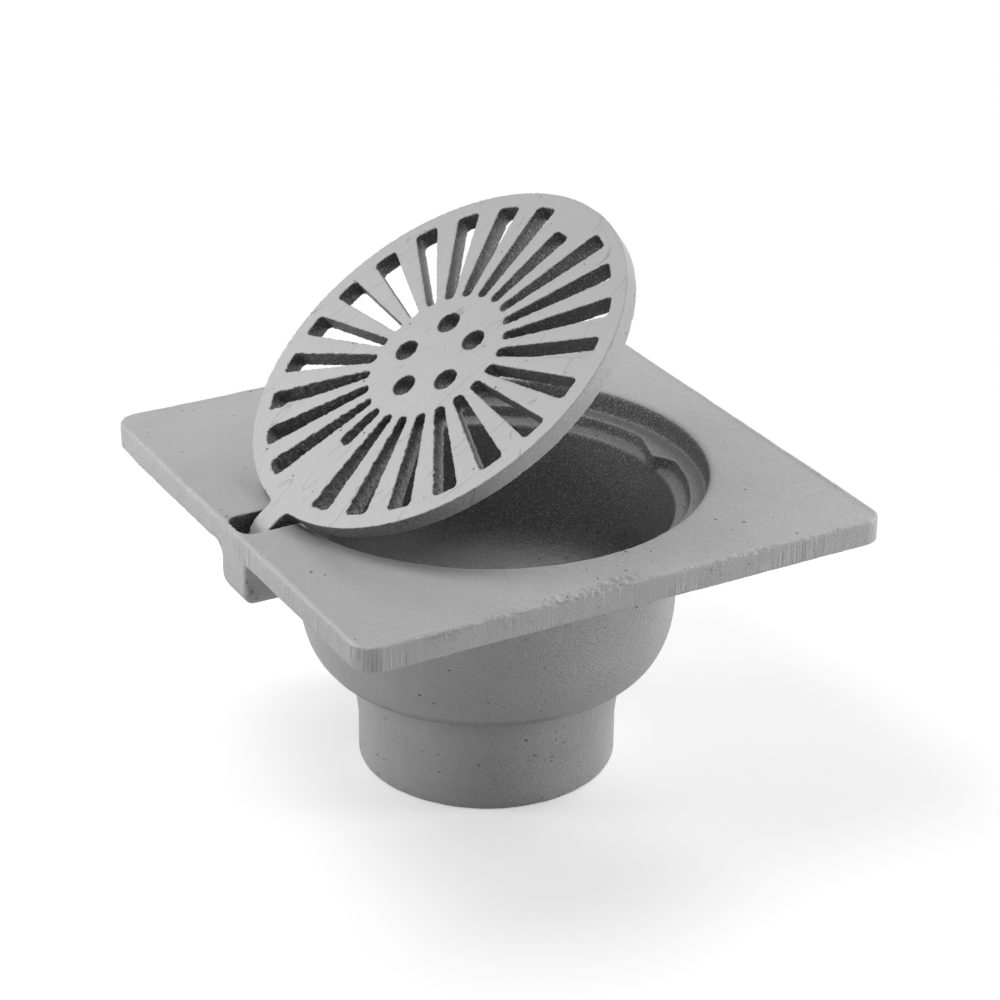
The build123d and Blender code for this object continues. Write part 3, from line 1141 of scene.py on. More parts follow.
    def ridge(self, points: np.ndarray) -> np.ndarray:
        """Lets a low uneven ridge stand along the plate's top edges.

        Args:
            points: Corners of the mesh.

        Returns:
            The changed corners.
        """
        inset = self.plate_edge - np.maximum(np.abs(points[:, 0]), np.abs(points[:, 1]))
        near = np.nonzero((inset < 0.0045) & (points[:, 2] > self.plate_top - 0.0022))[0]
        for index in near:
            lift = noise.noise(Vector(points[index]) / 0.009) * 0.5 + 0.6
            rise = np.exp(-(((inset[index] - self.ridge_inset) / self.ridge_width) ** 2))
            points[index, 2] += self.ridge_height * rise * max(0.0, lift)
        return points

    def pocket(self, points: np.ndarray) -> np.ndarray:
        """Finds the corners in the rough hinge pocket.

        Args:
            points: Corners of the mesh.

        Returns:
            Whether each corner is in it.
        """
        x, y, z = points.T
        inner = (x > self.pocket_ends[0]) & (x < self.pocket_ends[1])
        inner &= np.abs(y - self.pocket_middle) < self.pocket_half
        return inner * (z > self.plate_top - self.pocket_depth)

    def inside(self, points: np.ndarray, normals: np.ndarray) -> np.ndarray:
        """How dark and rough the hollows of mouth, bowl and pocket are at each corner, with painted shade in the
        pocket and painted light on the bowl's floor.

        Args:
            points: Corners of the mesh.
            normals: Their normals.

        Returns:
            Numbers from 0 to 1.
        """
        radius, outward = from_middle(points, normals)
        depth = self.plate_top - points[:, 2]
        facing = np.maximum(smooth_share(-outward, 0.05, 0.3), smooth_share(normals[:, 2], 0.1, 0.6))
        within = radius < self.mouth_radius + 0.0011
        level = self.wall_dark - self.seat_light * smooth_share(normals[:, 2], 0.5, 0.9)
        bowl = smooth_share(depth, self.seat_depth + 0.0075, self.seat_depth + 0.0105)
        # Painted light: the bowl's upward-facing floor and its -X side are made lighter.
        upward_light = smooth_share(normals[:, 2], 0.12, 0.50)
        upward_light = np.maximum(upward_light, smooth_share(-points[:, 0], -0.035, 0.010)) * smooth_share(depth, 0.050, 0.072)
        level = level * (1.0 - bowl) + (self.bowl_dark - self.silt_light * upward_light) * bowl
        hollow = facing * within * level
        # The hinge pocket is painted dark: painted shade.
        return np.maximum(hollow, self.pocket(points) * 0.9)

    def soiled(self, points: np.ndarray, normals: np.ndarray) -> np.ndarray:
        """How much painted shade darkens each corner, and below zero how much painted light brightens it.

        The painted shade sits under the plate, under the shoulder and on the plate at the mouth's hinge side, as
        the open grating's painted shadow; the painted light sits on the plate's front edge faces and the bowl's
        sides.

        Args:
            points: Corners of the mesh.
            normals: Their normals.

        Returns:
            Numbers from -0.3 to 1.
        """
        radius, outward = from_middle(points, normals)
        side = across_view(points)
        height = points[:, 2]
        facing_down = -normals[:, 2]
        above_crease = height - self.crease_level - self.crease_drop
        below_plate = self.plate_top - self.plate_thickness - height
        # Painted shade: a dark band on the spigot just below the shoulder.
        spigot = self.crease_dark * smooth_share(-above_crease, -MM, MM)
        spigot *= 1.0 - smooth_share(-above_crease, MM, 20.0 * MM)
        # Painted shade on the shoulder's downward faces.
        lip = self.lip_dark * smooth_share(facing_down, 0.52, 0.66)
        lip *= smooth_share(above_crease, -MM, MM) * (height < self.lip_top)
        # Painted shade under the plate, fading downwards.
        plate_shade = self.plate_shade_dark * (1.0 - smooth_share(below_plate, 0.0, self.plate_shade_reach))
        plate_shade += self.bowl_shade * (height > 55.0 * MM)
        plate_shade *= (below_plate > 0.0) * (1.0 - smooth_share(np.abs(side), 0.030, 0.070))
        outside = smooth_share(outward, -0.2, 0.1) * (radius < 0.094)
        # The painted shade fades towards the camera's right.
        under_shade = outside * (1.0 - 0.6 * smooth_share(side, 0.005, 0.045)) * (spigot + lip + plate_shade)
        # Painted light on the plate's front edge faces.
        painted_light = self.ground_light * smooth_share(-normals[:, 1], 0.2, 0.8)
        painted_light *= (below_plate < 0.0) * (radius > 0.1)
        # Painted light on the bowl's and spigot's sides as the camera sees them.
        ends = self.ends_light * smooth_share(np.abs(side) / np.maximum(radius, TINY), 0.72, 0.97)
        painted_light += ends * (outward > 0.1) * (below_plate > 0.0) * (radius < 0.1)
        # Painted shadow of the open grating on the plate by the mouth.
        angle = np.degrees(np.arctan2(-points[:, 1], -points[:, 0]))
        grating_shadow = self.grating_shadow_dark - self.grating_shadow_fade * smooth_share(angle, 16.0, 34.0)
        grating_shadow *= smooth_share(angle, 3.0, 9.0) * (1.0 - smooth_share(angle, 46.0, 78.0))
        grating_shadow *= 1.0 - smooth_share(radius, self.mouth_radius, self.mouth_radius + self.grating_shadow_reach)
        return np.clip(np.maximum(under_shade, grating_shadow * (below_plate < -0.009)) - painted_light, -0.3, 1.0)

    def sandy(self, points: np.ndarray, normals: np.ndarray) -> np.ndarray:
        """How coarse the sand grain is at each corner: fine on the plate, coarse low down and inside.

        Args:
            points: Corners of the mesh.
            normals: Their normals.

        Returns:
            Numbers from 0 to 1.
        """
        side = across_view(points)
        outward = from_middle(points, normals)[1]
        below = smooth_share(self.plate_top - points[:, 2], 0.012, 0.016)
        around = 0.25 + 0.75 * smooth_share(side, -0.035, 0.035) + 0.3 * smooth_share(-side, 0.050, 0.080)
        top = smooth_share(normals[:, 2], 0.5, 0.9)
        front = smooth_share(-points[:, 1], 0.060, 0.115) * smooth_share(points[:, 0], -0.105, -0.060)
        plate = 0.28 * (1.0 - top) + (0.12 + 0.40 * front) * top
        bottom = 0.9 * smooth_share(self.plate_top - points[:, 2], 0.045, 0.065) * (outward < 0.0)
        return np.clip(np.maximum(plate * (1.0 - below) + around * below, bottom), 0.0, 1.0)

    def build(self) -> bpy.types.Object:
        """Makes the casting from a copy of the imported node.

        Returns:
            The finished piece.
        """
        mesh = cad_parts[self.node].data.copy()
        shell = bmesh.new()
        shell.from_mesh(mesh)
        bmesh.ops.remove_doubles(shell, verts=shell.verts, dist=TINY)
        shell.to_mesh(mesh)
        shell.free()
        thing = placed("gully_casting", mesh)
        mesh.materials.clear()
        low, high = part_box(self.node)
        skin = self.skin()
        skin.cast(thing, self.finish.build())
        points = points_of(thing.data)
        normals = normals_of(thing.data)
        edges = edges_of(thing.data)
        for melt in self.melts():
            points = melt.soften(points, edges)
        points = self.swell(self.ridge(points))
        for chip in self.chips():
            points = chip.cut(points, normals)
        write_points(thing.data, points)
        skin.thin(thing)
        room = np.array((0.0, 0.0, self.ridge_room))
        write_points(thing.data, np.clip(points_of(thing.data), np.array(low), np.array(high) + room))
        points = points_of(thing.data)
        normals = normals_of(thing.data)
        write_values(thing.data, "inside", self.inside(points, normals))
        write_values(thing.data, "soiled", self.soiled(points, normals))
        write_values(thing.data, "sandy", self.sandy(points, normals))
        write_values(thing.data, "worn", np.max([spot.share(points) for spot in self.worn_spots()], axis=0))
        thing.data.shade_smooth()
        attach(thing, Part.GULLY.value)
        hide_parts(self.node)
        return thing


@dataclass
class Grating:
    """The round grating with its tongue, made shut and then swung open about the hinge line."""

    node: str = "grating"
    voxel: float = 0.58 * MM
    rim_radius: float = 93.1 * MM
    foot_radius: float = 92.35 * MM
    foot_shift: float = 0.7 * MM
    thickness: float = 8.5 * MM
    slot_count: int = 24
    slot_inner_radius: float = 33.6 * MM
    slot_outer_radius: float = 85.4 * MM
    slot_inner_width: float = 4.5 * MM
    slot_outer_width: float = 11.0 * MM
    slot_corner: float = 2.1 * MM
    front_slot_radius: float = 75.8 * MM
    back_slot_radius: float = 54.7 * MM
    hole_count: int = 5
    hole_radius: float = 5.4 * MM
    hole_ring: float = 18.6 * MM
    tongue_width: float = 13.0 * MM
    tongue_root: float = 86.0 * MM
    tongue_bend: float = 8.5 * MM
    webs: tuple[tuple[int, float], ...] = ((1, 3.5 * MM), (-1, 2.0 * MM))
    knuckle_radius: float = 7.0 * MM
    eye_radius: float = 3.12 * MM
    eye_play: float = 0.03 * MM
    rag_size: float = 2.4 * MM
    rag_depth: float = 1.1 * MM
    wall_reach: float = 1.2 * MM
    web_overlap: float = 2.0 * MM
    hinge: Point = (-106.5 * MM, -1.5 * MM, 125.5 * MM)
    shift: float = 1.5 * MM
    shut_top: float = 138.7 * MM
    open_angle: float = 35.3
    slot_dark: float = 0.85
    # Painted shade on the rim's side towards the hinge.
    soiled_dark: float = 0.75
    seed: int = 7
    finish: GreyCasting = field(
        default_factory=lambda: GreyCasting(
            "grating_iron",
            tone=0.49,
            uneven=0.035,
            line_size=26.0 * MM,
            line_share=0.52,
            line_turn=radians(35.3),
            pit_share=0.10,
        )
    )

    def skin(self) -> CastSkin:
        """Skin of this casting."""
        return CastSkin(
            voxel=self.voxel,
            wave_depth=0.0003,
            ripple_size=0.007,
            ripple_depth=0.0002,
            grain_size=0.0022,
            nick_size=0.0024,
            nick_depth=0.0006,
            edge_reach=0.00046,
            seed=8.0,
        )

    @staticmethod
    @cache
    def slot_tree() -> bpy.types.NodeTree:
        """Builds the tree that draws one tapered slot along +X with rounded corners.

        Returns:
            The geometry tree.
        """
        sketch, given, leave = new_tree(
            "slot_outline",
            Shape.MESH,
            {
                "Inner Radius": 0.03,
                "Outer Radius": 0.08,
                "Inner Width": 0.004,
                "Outer Width": 0.01,
                "Corner": 0.002,
            },
            {"Curve": "Geometry"},
        )
        inner = sketch.math("DIVIDE", given["Inner Width"], 2.0)
        outer = sketch.math("DIVIDE", given["Outer Width"], 2.0)
        box = sketch.add("GeometryNodeCurvePrimitiveQuadrilateral", mode="POINTS")
        corners = (
            (given["Inner Radius"], sketch.times(inner, -1.0)),
            (given["Outer Radius"], sketch.times(outer, -1.0)),
            (given["Outer Radius"], outer),
            (given["Inner Radius"], inner),
        )
        for number, (x, y) in enumerate(corners, start=1):
            sketch.feed(box.inputs[f"Point {number}"], sketch.joined(x, y))
        round_off = sketch.add("GeometryNodeFilletCurve", {"Curve": box.outputs[0]})
        if hasattr(round_off, "mode"):
            round_off.mode = "POLY"
        sketch.feed(round_off.inputs["Count"], 5)
        sketch.feed(round_off.inputs["Radius"], given["Corner"])
        sketch.feed(round_off.inputs["Limit Radius"], True)
        sketch.feed(leave.inputs["Curve"], round_off.outputs[0])
        return sketch.tree

    @staticmethod
    def tree() -> bpy.types.NodeTree:
        """Builds the tree that makes the grating: slotted disc, tongue from the drawn outline, swung open.

        Returns:
            The geometry tree.
        """
        sketch, given, leave = new_tree(
            "round_grating",
            Shape.MESH,
            {
                "Geometry": "Geometry",
                "Rim Radius": 0.09,
                "Foot Radius": 0.09,
                "Foot Shift": 0.0,
                "Thickness": 0.008,
                "Slot Count": 24,
                "Slot Inner Radius": 0.03,
                "Slot Outer Radius": 0.08,
                "Slot Inner Width": 0.004,
                "Slot Outer Width": 0.01,
                "Slot Corner": 0.002,
                "Front Slot Radius": 0.07,
                "Back Slot Radius": 0.05,
                "Hole Count": 5,
                "Hole Radius": 0.005,
                "Hole Ring": 0.018,
                "Tongue Width": 0.013,
                "Tongue Shift": 0.0,
                "Shut Place": "Vector",
                "Hinge": "Vector",
                "Open Angle": 0.6,
                "Uneven": 0.006,
                "Seed": 0,
                "Finish": "Material",
            },
            {"Geometry": "Geometry"},
        )
        index = sketch.add("GeometryNodeInputIndex").outputs[0]
        turn = sketch.math("DIVIDE", 2.0 * pi, given["Slot Count"])
        spokes = sketch.add("GeometryNodePoints", {"Count": given["Slot Count"]})
        angle = sketch.joined(z=sketch.times(index, turn))
        turned = sketch.add("FunctionNodeEulerToRotation", {"Euler": angle})
        half = sketch.math("DIVIDE", given["Slot Count"], 2.0)
        front = sketch.add("FunctionNodeCompare", {"A": index, "B": 0.0}, data_type="FLOAT", operation="EQUAL")
        back = sketch.add("FunctionNodeCompare", {"A": index, "B": half}, data_type="FLOAT", operation="EQUAL")
        either = sketch.add("FunctionNodeBooleanMath", operation="NOR")
        sketch.feed(either.inputs[0], front.outputs[0])
        sketch.feed(either.inputs[1], back.outputs[0])
        stray = sketch.add("FunctionNodeRandomValue", data_type="FLOAT")
        numbers = [s for s in stray.inputs if s.enabled]
        sketch.feed(numbers[0], sketch.math("SUBTRACT", 1.0, given["Uneven"]))
        sketch.feed(numbers[1], sketch.math("ADD", 1.0, given["Uneven"]))
        sketch.feed(stray.inputs["Seed"], given["Seed"])
        uneven = next(s for s in stray.outputs if s.enabled)
        size = sketch.joined(uneven, 1.0, 1.0)
        spread = sketch.math(
            "DIVIDE",
            sketch.math("SUBTRACT", given["Slot Outer Width"], given["Slot Inner Width"]),
            sketch.math("SUBTRACT", given["Slot Outer Radius"], given["Slot Inner Radius"]),
        )
        outlines: list[Socket] = []
        for chosen, reach in (
            (either.outputs[0], given["Slot Outer Radius"]),
            (front.outputs[0], given["Front Slot Radius"]),
            (back.outputs[0], given["Back Slot Radius"]),
        ):
            run = sketch.math("SUBTRACT", reach, given["Slot Inner Radius"])
            slot = sketch.add("GeometryNodeGroup", node_tree=Grating.slot_tree())
            for title, value in (
                ("Inner Radius", given["Slot Inner Radius"]),
                ("Outer Radius", reach),
                ("Inner Width", given["Slot Inner Width"]),
                ("Outer Width", sketch.math("MULTIPLY_ADD", spread, run, given["Slot Inner Width"])),
                ("Corner", given["Slot Corner"]),
            ):
                sketch.feed(slot.inputs[title], value)
            copies = sketch.add(
                "GeometryNodeInstanceOnPoints",
                {
                    "Points": spokes.outputs[0],
                    "Selection": chosen,
                    "Instance": slot.outputs[0],
                    "Rotation": turned.outputs[0],
                    "Scale": size,
                },
            )
            outlines.append(copies.outputs[0])
        around = sketch.math("MULTIPLY_ADD", index, sketch.math("DIVIDE", 2.0 * pi, given["Hole Count"]), pi)
        ways = [sketch.times(sketch.math(way, around), given["Hole Ring"]) for way in ("COSINE", "SINE")]
        ring = sketch.joined(*ways)
        spots = sketch.add("GeometryNodePoints", {"Count": given["Hole Count"], "Position": ring})
        hole, rim = (
            sketch.add("GeometryNodeCurvePrimitiveCircle", {"Resolution": sides, "Radius": reach}, mode="RADIUS")
            for sides, reach in ((40, given["Hole Radius"]), (288, given["Rim Radius"]))
        )
        copied = {"Points": spots.outputs[0], "Instance": hole.outputs[0]}
        holes = sketch.add("GeometryNodeInstanceOnPoints", copied)
        outlines += [holes.outputs[0], rim.outputs[0]]
        drawing = sketch.add("GeometryNodeJoinGeometry")
        for outline in outlines:
            sketch.feed(drawing.inputs[0], outline)
        flat = sketch.add("GeometryNodeRealizeInstances", {"Geometry": drawing.outputs[0]})
        disc = Grating.plate(sketch, flat.outputs[0], given["Thickness"])
        spot = sketch.add("GeometryNodeInputPosition").outputs[0]
        x, y, z = sketch.split(spot)
        radius = sketch.vector("LENGTH", sketch.joined(x, y)).outputs["Value"]
        outer = sketch.math("GREATER_THAN", radius, sketch.times(given["Rim Radius"], 0.99))
        under = sketch.math("LESS_THAN", z, sketch.times(given["Thickness"], -0.5))
        share = sketch.math("DIVIDE", given["Foot Radius"], given["Rim Radius"])
        foot = sketch.vector("MULTIPLY", spot, sketch.joined(share, share, 1.0)).outputs[0]
        beyond = sketch.joined(given["Foot Shift"])
        drafted = sketch.add(
            "GeometryNodeSetPosition",
            {
                "Geometry": disc,
                "Selection": sketch.times(outer, under),
                "Position": sketch.vector("ADD", foot, beyond).outputs[0],
            },
        )
        loops = sketch.add("GeometryNodeMeshToCurve", {"Mesh": given["Geometry"]})
        slab = Grating.plate(sketch, loops.outputs[0], given["Tongue Width"])
        side = sketch.math("MULTIPLY_ADD", given["Tongue Width"], -0.5, given["Tongue Shift"])
        upright = sketch.add(
            "GeometryNodeTransform",
            {"Geometry": slab, "Translation": sketch.joined(y=side), "Rotation": Euler((pi / 2.0, 0.0, 0.0))},
        )
        whole = sketch.add("GeometryNodeJoinGeometry")
        sketch.feed(whole.inputs[0], drafted.outputs[0])
        sketch.feed(whole.inputs[0], upright.outputs[0])
        shut = sketch.vector("SUBTRACT", given["Shut Place"], given["Hinge"]).outputs[0]
        home = sketch.add("GeometryNodeTransform", {"Geometry": whole.outputs[0], "Translation": shut})
        lean = sketch.joined(y=sketch.times(given["Open Angle"], -1.0))
        swing = sketch.add("FunctionNodeEulerToRotation", {"Euler": lean})
        opened = sketch.add(
            "GeometryNodeTransform",
            {"Geometry": home.outputs[0], "Translation": given["Hinge"], "Rotation": swing.outputs[0]},
        )
        return end_tree(sketch, opened.outputs[0], given["Finish"], leave)

    @staticmethod
    def plate(sketch: Sketch, curves: Socket, thickness: Socket) -> Socket:
        """Fills closed curves and gives them a thickness below height zero.

        Args:
            sketch: The sketch of the tree.
            curves: The closed curves; those inside others are holes.
            thickness: How thick the plate is.

        Returns:
            The closed mesh.
        """
        filled = sketch.add("GeometryNodeFillCurve", {"Curve": curves})
        drop = sketch.joined(z=sketch.times(thickness, -1.0))
        lowered = sketch.add("GeometryNodeTransform", {"Geometry": filled.outputs[0], "Translation": drop})
        pull = {"Offset": (0.0, 0.0, 1.0), "Offset Scale": thickness, "Individual": False}
        raised = sketch.add("GeometryNodeExtrudeMesh", {"Mesh": lowered.outputs[0]} | pull, mode="FACES")
        under = sketch.add("GeometryNodeFlipFaces", {"Mesh": lowered.outputs[0]})
        both = sketch.add("GeometryNodeJoinGeometry")
        sketch.feed(both.inputs[0], raised.outputs[0])
        sketch.feed(both.inputs[0], under.outputs[0])
        merged = sketch.add("GeometryNodeMergeByDistance", {"Geometry": both.outputs[0], "Distance": TINY})
        return merged.outputs[0]

    def tongue_outline(self) -> bpy.types.Mesh:
        """Draws the tongue's side and its eye flat, as two closed loops of edges.

        Returns:
            A mesh of edges.
        """
        x = self.hinge[0] - self.shift
        z = self.hinge[2] - self.shut_top
        radius = self.knuckle_radius
        bend = self.tongue_bend
        crown = (bend**2 + z**2 - radius**2) / (2.0 * (-z - radius))
        meeting = degrees(atan2(crown + z, -bend))
        foot = -self.thickness
        outline = [(-self.tongue_root, 0.0), (-self.tongue_root, foot), (x + 2.0 * radius, foot)]
        for angle in np.linspace(-82.0, meeting - 360.0, 20):
            outline.append((x + radius * cos(radians(angle)), z + radius * sin(radians(angle))))
        for angle in np.linspace(meeting, 90.0, 12)[1:]:
            outline.append((x + bend + crown * cos(radians(angle)), -crown + crown * sin(radians(angle))))
        turns = np.linspace(0, 2 * pi, 48, endpoint=False)
        eye = [(x + self.eye_radius * cos(turn), z + self.eye_radius * sin(turn)) for turn in turns]
        drawing = bmesh.new()
        for loop in (outline, eye):
            dots = [drawing.verts.new((px, pz, 0.0)) for px, pz in loop]
            for first, second in zip(dots, dots[1:] + dots[:1]):
                drawing.edges.new((first, second))
        mesh = bpy.data.meshes.new("tongue_outline")
        drawing.to_mesh(mesh)
        drawing.free()
        return mesh

    def opened(self, points: np.ndarray) -> np.ndarray:
        """Swings places of the shut disc, from its middle, to where the open grating has them.

        Args:
            points: The places.

        Returns:
            The same on the open grating.
        """
        turn = radians(self.open_angle)
        away = points + np.array((self.shift, 0.0, self.shut_top)) - np.array(self.hinge)
        x = away[:, 0] * cos(turn) - away[:, 2] * sin(turn)
        z = away[:, 0] * sin(turn) + away[:, 2] * cos(turn)
        return np.stack([x, away[:, 1], z], axis=1) + np.array(self.hinge)

    def add_webs(self, mesh: bpy.types.Mesh) -> None:
        """Adds the small hollow fillets where the tongue leaves the rim.

        Args:
            mesh: The open grating's mesh.
        """
        shell = bmesh.new()
        shell.from_mesh(mesh)
        for side, blend in self.webs:
            flank = self.hinge[1] + side * self.tongue_width / 2.0
            beside = flank + side * blend
            middle = (-(((self.rim_radius + blend) ** 2 - beside**2) ** 0.5), beside)
            inward = atan2(-middle[1], -middle[0])
            down = -side * pi / 2.0
            outline = [(-self.tongue_root, flank - side * self.web_overlap)]
            outline += [
                (middle[0] + blend * cos(angle), middle[1] + blend * sin(angle))
                for angle in np.linspace(down, inward, 7)
            ]
            outline += [(-self.tongue_root, middle[1])]
            rows = []
            for level in (-0.2 * MM, 0.6 * MM - self.thickness):
                corners = self.opened(np.array([(x, y, level) for x, y in outline]))
                rows.append([shell.verts.new(corner) for corner in corners])
            upper, lower = rows
            faces = [shell.faces.new(upper), shell.faces.new(lower[::-1])]
            count = len(outline)
            for index in range(count):
                nearby = (index + 1) % count
                faces.append(shell.faces.new((upper[nearby], upper[index], lower[index], lower[nearby])))
            bmesh.ops.recalc_face_normals(shell, faces=faces)
        shell.to_mesh(mesh)
        shell.free()

    def shut(self, points: np.ndarray, arrows: bool = False) -> np.ndarray:
        """Turns places or directions of the open grating back to the shut one, from the disc's middle.

        Args:
            points: Corners or normals of the mesh.
            arrows: Whether they are directions.

        Returns:
            The same in the frame of the shut disc.
        """
        turn = radians(self.open_angle)
        away = points if arrows else points - np.array(self.hinge)
        x = away[:, 0] * cos(turn) + away[:, 2] * sin(turn)
        z = -away[:, 0] * sin(turn) + away[:, 2] * cos(turn)
        if arrows:
            return np.stack([x, away[:, 1], z], axis=1)
        home = (x + self.hinge[0] - self.shift, points[:, 1], z + self.hinge[2] - self.shut_top)
        return np.stack(home, axis=1)

    def in_slots(self, points: np.ndarray, normals: np.ndarray) -> np.ndarray:
        """Share of slot and hole walls at each corner.

        Args:
            points: Corners of the mesh.
            normals: Their normals.

        Returns:
            Numbers from 0 to 1.
        """
        local = self.shut(points)
        facing = np.abs(self.shut(normals, True)[:, 2])
        radius = np.hypot(local[:, 0], local[:, 1])
        within = (radius < self.slot_outer_radius + self.wall_reach) & (local[:, 2] > -self.thickness - MM)
        return within * (1.0 - smooth_share(facing, 0.45, 0.85))

    def ragged(self, points: np.ndarray, normals: np.ndarray) -> np.ndarray:
        """Makes the slot walls ragged, most of all towards the hinge and at the hub.

        Args:
            points: Corners of the mesh.
            normals: Their normals.

        Returns:
            The changed corners.
        """
        local = self.shut(points)
        wall = self.in_slots(points, normals)
        radius = np.hypot(local[:, 0], local[:, 1])
        amount = 0.10 + 0.42 * smooth_share(-local[:, 0], -0.010, 0.060)
        amount += 0.16 * smooth_share(-radius, -0.050, -0.036)
        amount *= smooth_share(radius, 0.026, 0.032) * 0.9 + 0.1
        for index in np.nonzero(wall > 0.05)[0]:
            bite = noise.fractal(Vector(local[index]) / self.rag_size, 0.75, 2.0, 3)
            points[index] += normals[index] * (bite * amount[index] * wall[index] * self.rag_depth)
        return points

    def trued_eye(self, points: np.ndarray) -> np.ndarray:
        """Makes the eye round again, clear of the pin, after the surface was made uneven.

        Args:
            points: Corners of the mesh.

        Returns:
            The changed corners.
        """
        x = points[:, 0] - self.hinge[0]
        z = points[:, 2] - self.hinge[2]
        radius = np.hypot(x, z)
        across = np.abs(points[:, 1] - self.hinge[1])
        near = (radius < self.eye_radius + self.wall_reach) & (across < self.tongue_width / 2 - 0.2 * MM)
        true_radius = self.eye_radius + self.eye_play
        points[near, 0] = self.hinge[0] + x[near] / radius[near] * true_radius
        points[near, 2] = self.hinge[2] + z[near] / radius[near] * true_radius
        return points

    def build(self) -> bpy.types.Object:
        """Makes the grating.

        Returns:
            The finished piece.
        """
        finish = self.finish.build()
        thing = placed("round_grating", self.tongue_outline())
        grow = thing.modifiers.new("grating", "NODES")
        grow.node_group = self.tree()
        others = {
            "Tongue Shift": self.hinge[1],
            "Shut Place": (self.shift, 0.0, self.shut_top),
            "Open Angle": radians(self.open_angle),
            "Finish": finish,
        }
        set_inputs(grow, self, others)
        baked(thing)
        self.add_webs(thing.data)
        low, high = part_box(self.node)
        skin = self.skin()
        skin.cast(thing, finish)
        points = self.ragged(points_of(thing.data), normals_of(thing.data))
        points = self.trued_eye(points)
        write_points(thing.data, points)
        skin.thin(thing)
        write_points(thing.data, np.clip(points_of(thing.data), np.array(low), np.array(high)))
        points = points_of(thing.data)
        normals = normals_of(thing.data)
        local = self.shut(points)
        slots = self.in_slots(points, normals)
        rim = smooth_share(np.hypot(local[:, 0], local[:, 1]), 0.0900, 0.0915)
        side = rim * (1.0 - smooth_share(np.abs(self.shut(normals, True)[:, 2]), 0.3, 0.7))
        # Painted shade on the rim's side towards the hinge, and on the tongue's flanks.
        soiled = side * smooth_share(-local[:, 0], 0.010, 0.070) * self.soiled_dark
        flanks = np.abs(local[:, 1] - self.hinge[1]) > 5.0 * MM
        tongue = 0.95 * side * flanks * smooth_share(-local[:, 0], 0.0915, 0.0935)
        write_values(thing.data, "inside", np.maximum(slots * self.slot_dark, np.maximum(soiled, tongue)))
        # Painted shade: the disc is darker towards its side away from the hinge.
        write_values(thing.data, "soiled", 0.17 * smooth_share(local[:, 0], -0.09, 0.09))
        write_values(thing.data, "sandy", 0.10 + 0.25 * side)
        write_values(thing.data, "worn", 0.06 * side + 0.06 * smooth_share(-local[:, 0], 0.05, 0.08))
        thing.data.shade_smooth()
        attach(thing, Part.COVER.value)
        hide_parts(self.node)
        return thing


@dataclass
class HingePin:
    """The steel pin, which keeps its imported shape."""

    node: str = "hinge_pin"
    finish: DrawnSteel = field(default_factory=lambda: DrawnSteel("pin_steel"))

    def build(self) -> bpy.types.Object:
        """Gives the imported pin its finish.

        Returns:
            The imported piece.
        """
        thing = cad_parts[self.node]
        material = self.finish.build()
        thing.data.materials.clear()
        thing.data.materials.append(material)
        return thing


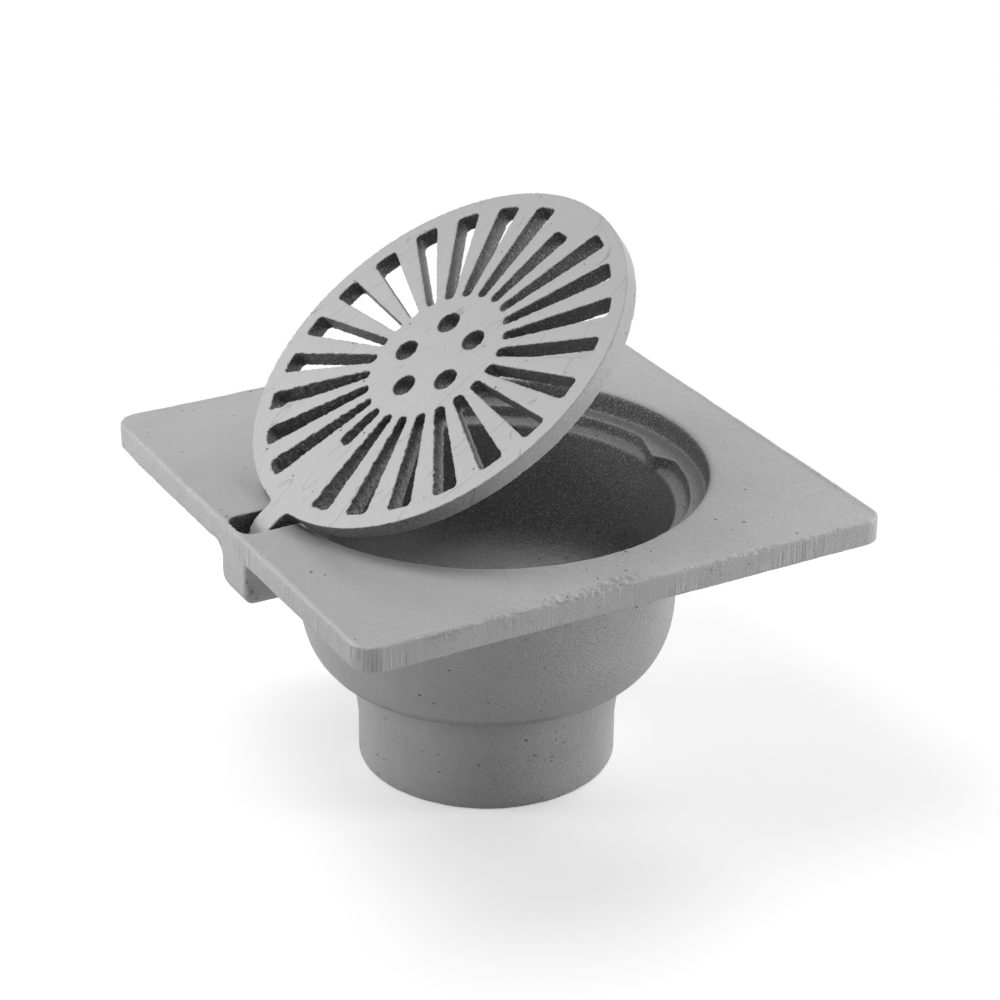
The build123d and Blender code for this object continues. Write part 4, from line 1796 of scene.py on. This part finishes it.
@dataclass
class Studio:
    """Pale floor, soft lamps, white surroundings and the camera at the photograph's angle."""

    camera_place: Point = (-0.56982, -1.02943, 0.69785)
    camera_turn: Point = (63.99367, -0.38275, -29.04582)
    lens: float = 106.79
    floor_tone: float = 0.86
    floor_lift: float = 0.40
    bore_radius: float = 52.0 * MM
    spigot_radius: float = 58.0 * MM
    white_from: float = 0.15
    white_past: float = 0.45
    ambient: float = 0.12
    lamps: tuple[tuple[str, Point, float, float], ...] = (
        ("lamp_right_low", (0.947, -0.526, 0.311), 0.35, 4.5),
        ("lamp_right_behind", (0.866, 0.248, 0.751), 0.7, 5.1),
        ("lamp_left_low", (-0.947, 0.526, 0.311), 0.35, 4.1),
        ("lamp_left_high", (-0.481, 0.267, 1.073), 0.7, 6.5),
    )
    lamp_aim: Point = (0.0, 0.0, 0.12)

    def floor(self) -> bpy.types.Object:
        """Makes the floor, which shows white to the camera except for the shadow.

        Returns:
            The floor.
        """
        sheet = bmesh.new()
        bmesh.ops.create_grid(sheet, x_segments=1, y_segments=1, size=6.0)
        mesh = bpy.data.meshes.new("floor")
        sheet.to_mesh(mesh)
        sheet.free()
        thing = placed("floor", mesh)
        surface = Surface("pale_floor")
        surface.shader.inputs["Base Color"].default_value = grey(self.floor_tone)
        surface.shader.inputs["Roughness"].default_value = 0.9
        surface.shader.inputs["Specular IOR Level"].default_value = 0.1
        self.whiten(surface)
        mesh.materials.append(surface.material)
        return thing

    def whiten(self, surface: Surface) -> None:
        """Lifts the floor near the object, but not inside the spigot, and turns it white further out.

        Args:
            surface: The floor's material.
        """
        sketch = surface.sketch
        paths = sketch.add("ShaderNodeLightPath")
        direct = paths.outputs["Is Camera Ray"]
        mirrored = sketch.math("MAXIMUM", paths.outputs["Is Glossy Ray"], paths.outputs["Is Transmission Ray"])
        seen = sketch.math("MAXIMUM", direct, mirrored)
        away = sketch.vector("LENGTH", surface.place).outputs["Value"]
        open_floor = sketch.span(away, self.bore_radius, self.spigot_radius)
        lifted = sketch.times(sketch.times(direct, self.floor_lift), open_floor)
        lift = sketch.add("ShaderNodeEmission", {"Strength": lifted})
        near = sketch.add("ShaderNodeAddShader", {0: surface.shader.outputs[0], 1: lift.outputs[0]})
        far = sketch.add(
            "ShaderNodeMapRange",
            {"Value": away, "From Min": self.white_from, "From Max": self.white_past},
            interpolation_type="SMOOTHSTEP",
        )
        white = sketch.add("ShaderNodeEmission", {"Strength": 1.0})
        share = sketch.times(seen, far.outputs[0])
        both = sketch.add("ShaderNodeMixShader", {0: share, 1: near.outputs[0], 2: white.outputs[0]})
        leave = next(n for n in sketch.tree.nodes if n.type == "OUTPUT_MATERIAL")
        sketch.feed(leave.inputs["Surface"], both.outputs[0])

    def world(self) -> None:
        """Makes the surroundings: a dim light on the object, white to the camera and in gloss."""
        world = bpy.data.worlds.new("surroundings")
        world.use_nodes = True
        bpy.context.scene.world = world
        sketch = Sketch(world.node_tree)
        paths = sketch.add("ShaderNodeLightPath")
        mirrored = sketch.math("MAXIMUM", paths.outputs["Is Glossy Ray"], paths.outputs["Is Transmission Ray"])
        seen = sketch.math("MAXIMUM", paths.outputs["Is Camera Ray"], mirrored)
        back = next(n for n in sketch.tree.nodes if n.type == "BACKGROUND")
        back.inputs["Color"].default_value = (1.0, 1.0, 1.0, 1.0)
        strength = sketch.add("ShaderNodeMix", data_type="FLOAT")
        sketch.feed(strength.inputs[0], seen)
        sketch.feed(strength.inputs[2], self.ambient)
        sketch.feed(strength.inputs[3], 1.0)
        sketch.feed(back.inputs["Strength"], strength.outputs[0])

    def lights(self) -> None:
        """Hangs the soft lamps, each turned to the object."""
        for name, place, size, power in self.lamps:
            lamp = bpy.data.lights.new(name, "AREA")
            lamp.shape = "SQUARE"
            lamp.size = size
            lamp.energy = power
            thing = bpy.data.objects.new(name, lamp)
            thing.location = place
            thing.rotation_euler = (Vector(place) - Vector(self.lamp_aim)).to_track_quat("Z", "Y").to_euler()
            bpy.context.scene.collection.objects.link(thing)

    def camera(self) -> None:
        """Sets the camera where the photograph was taken."""
        lens = bpy.data.cameras.new("camera")
        lens.lens = self.lens
        lens.sensor_width = 36.0
        lens.clip_end = 30.0
        thing = bpy.data.objects.new("camera", lens)
        thing.location = self.camera_place
        thing.rotation_euler = tuple(radians(a) for a in self.camera_turn)
        bpy.context.scene.collection.objects.link(thing)
        bpy.context.scene.camera = thing

    def build(self) -> None:
        """Sets up floor, surroundings, lamps, camera and plain colours."""
        self.floor()
        self.world()
        self.lights()
        self.camera()
        bpy.context.scene.view_settings.view_transform = "Standard"


def main() -> None:
    """Builds the pieces in order, then the studio."""
    logging.basicConfig(level=logging.INFO, format="%(name)s: %(message)s")
    for maker in (GullyBody(), Grating(), HingePin()):
        piece = maker.build()
        piece.data.calc_loop_triangles()
        log.info("%s: %d triangles", piece.name, len(piece.data.loop_triangles))
    Studio().build()


if __name__ == "__main__":
    main()
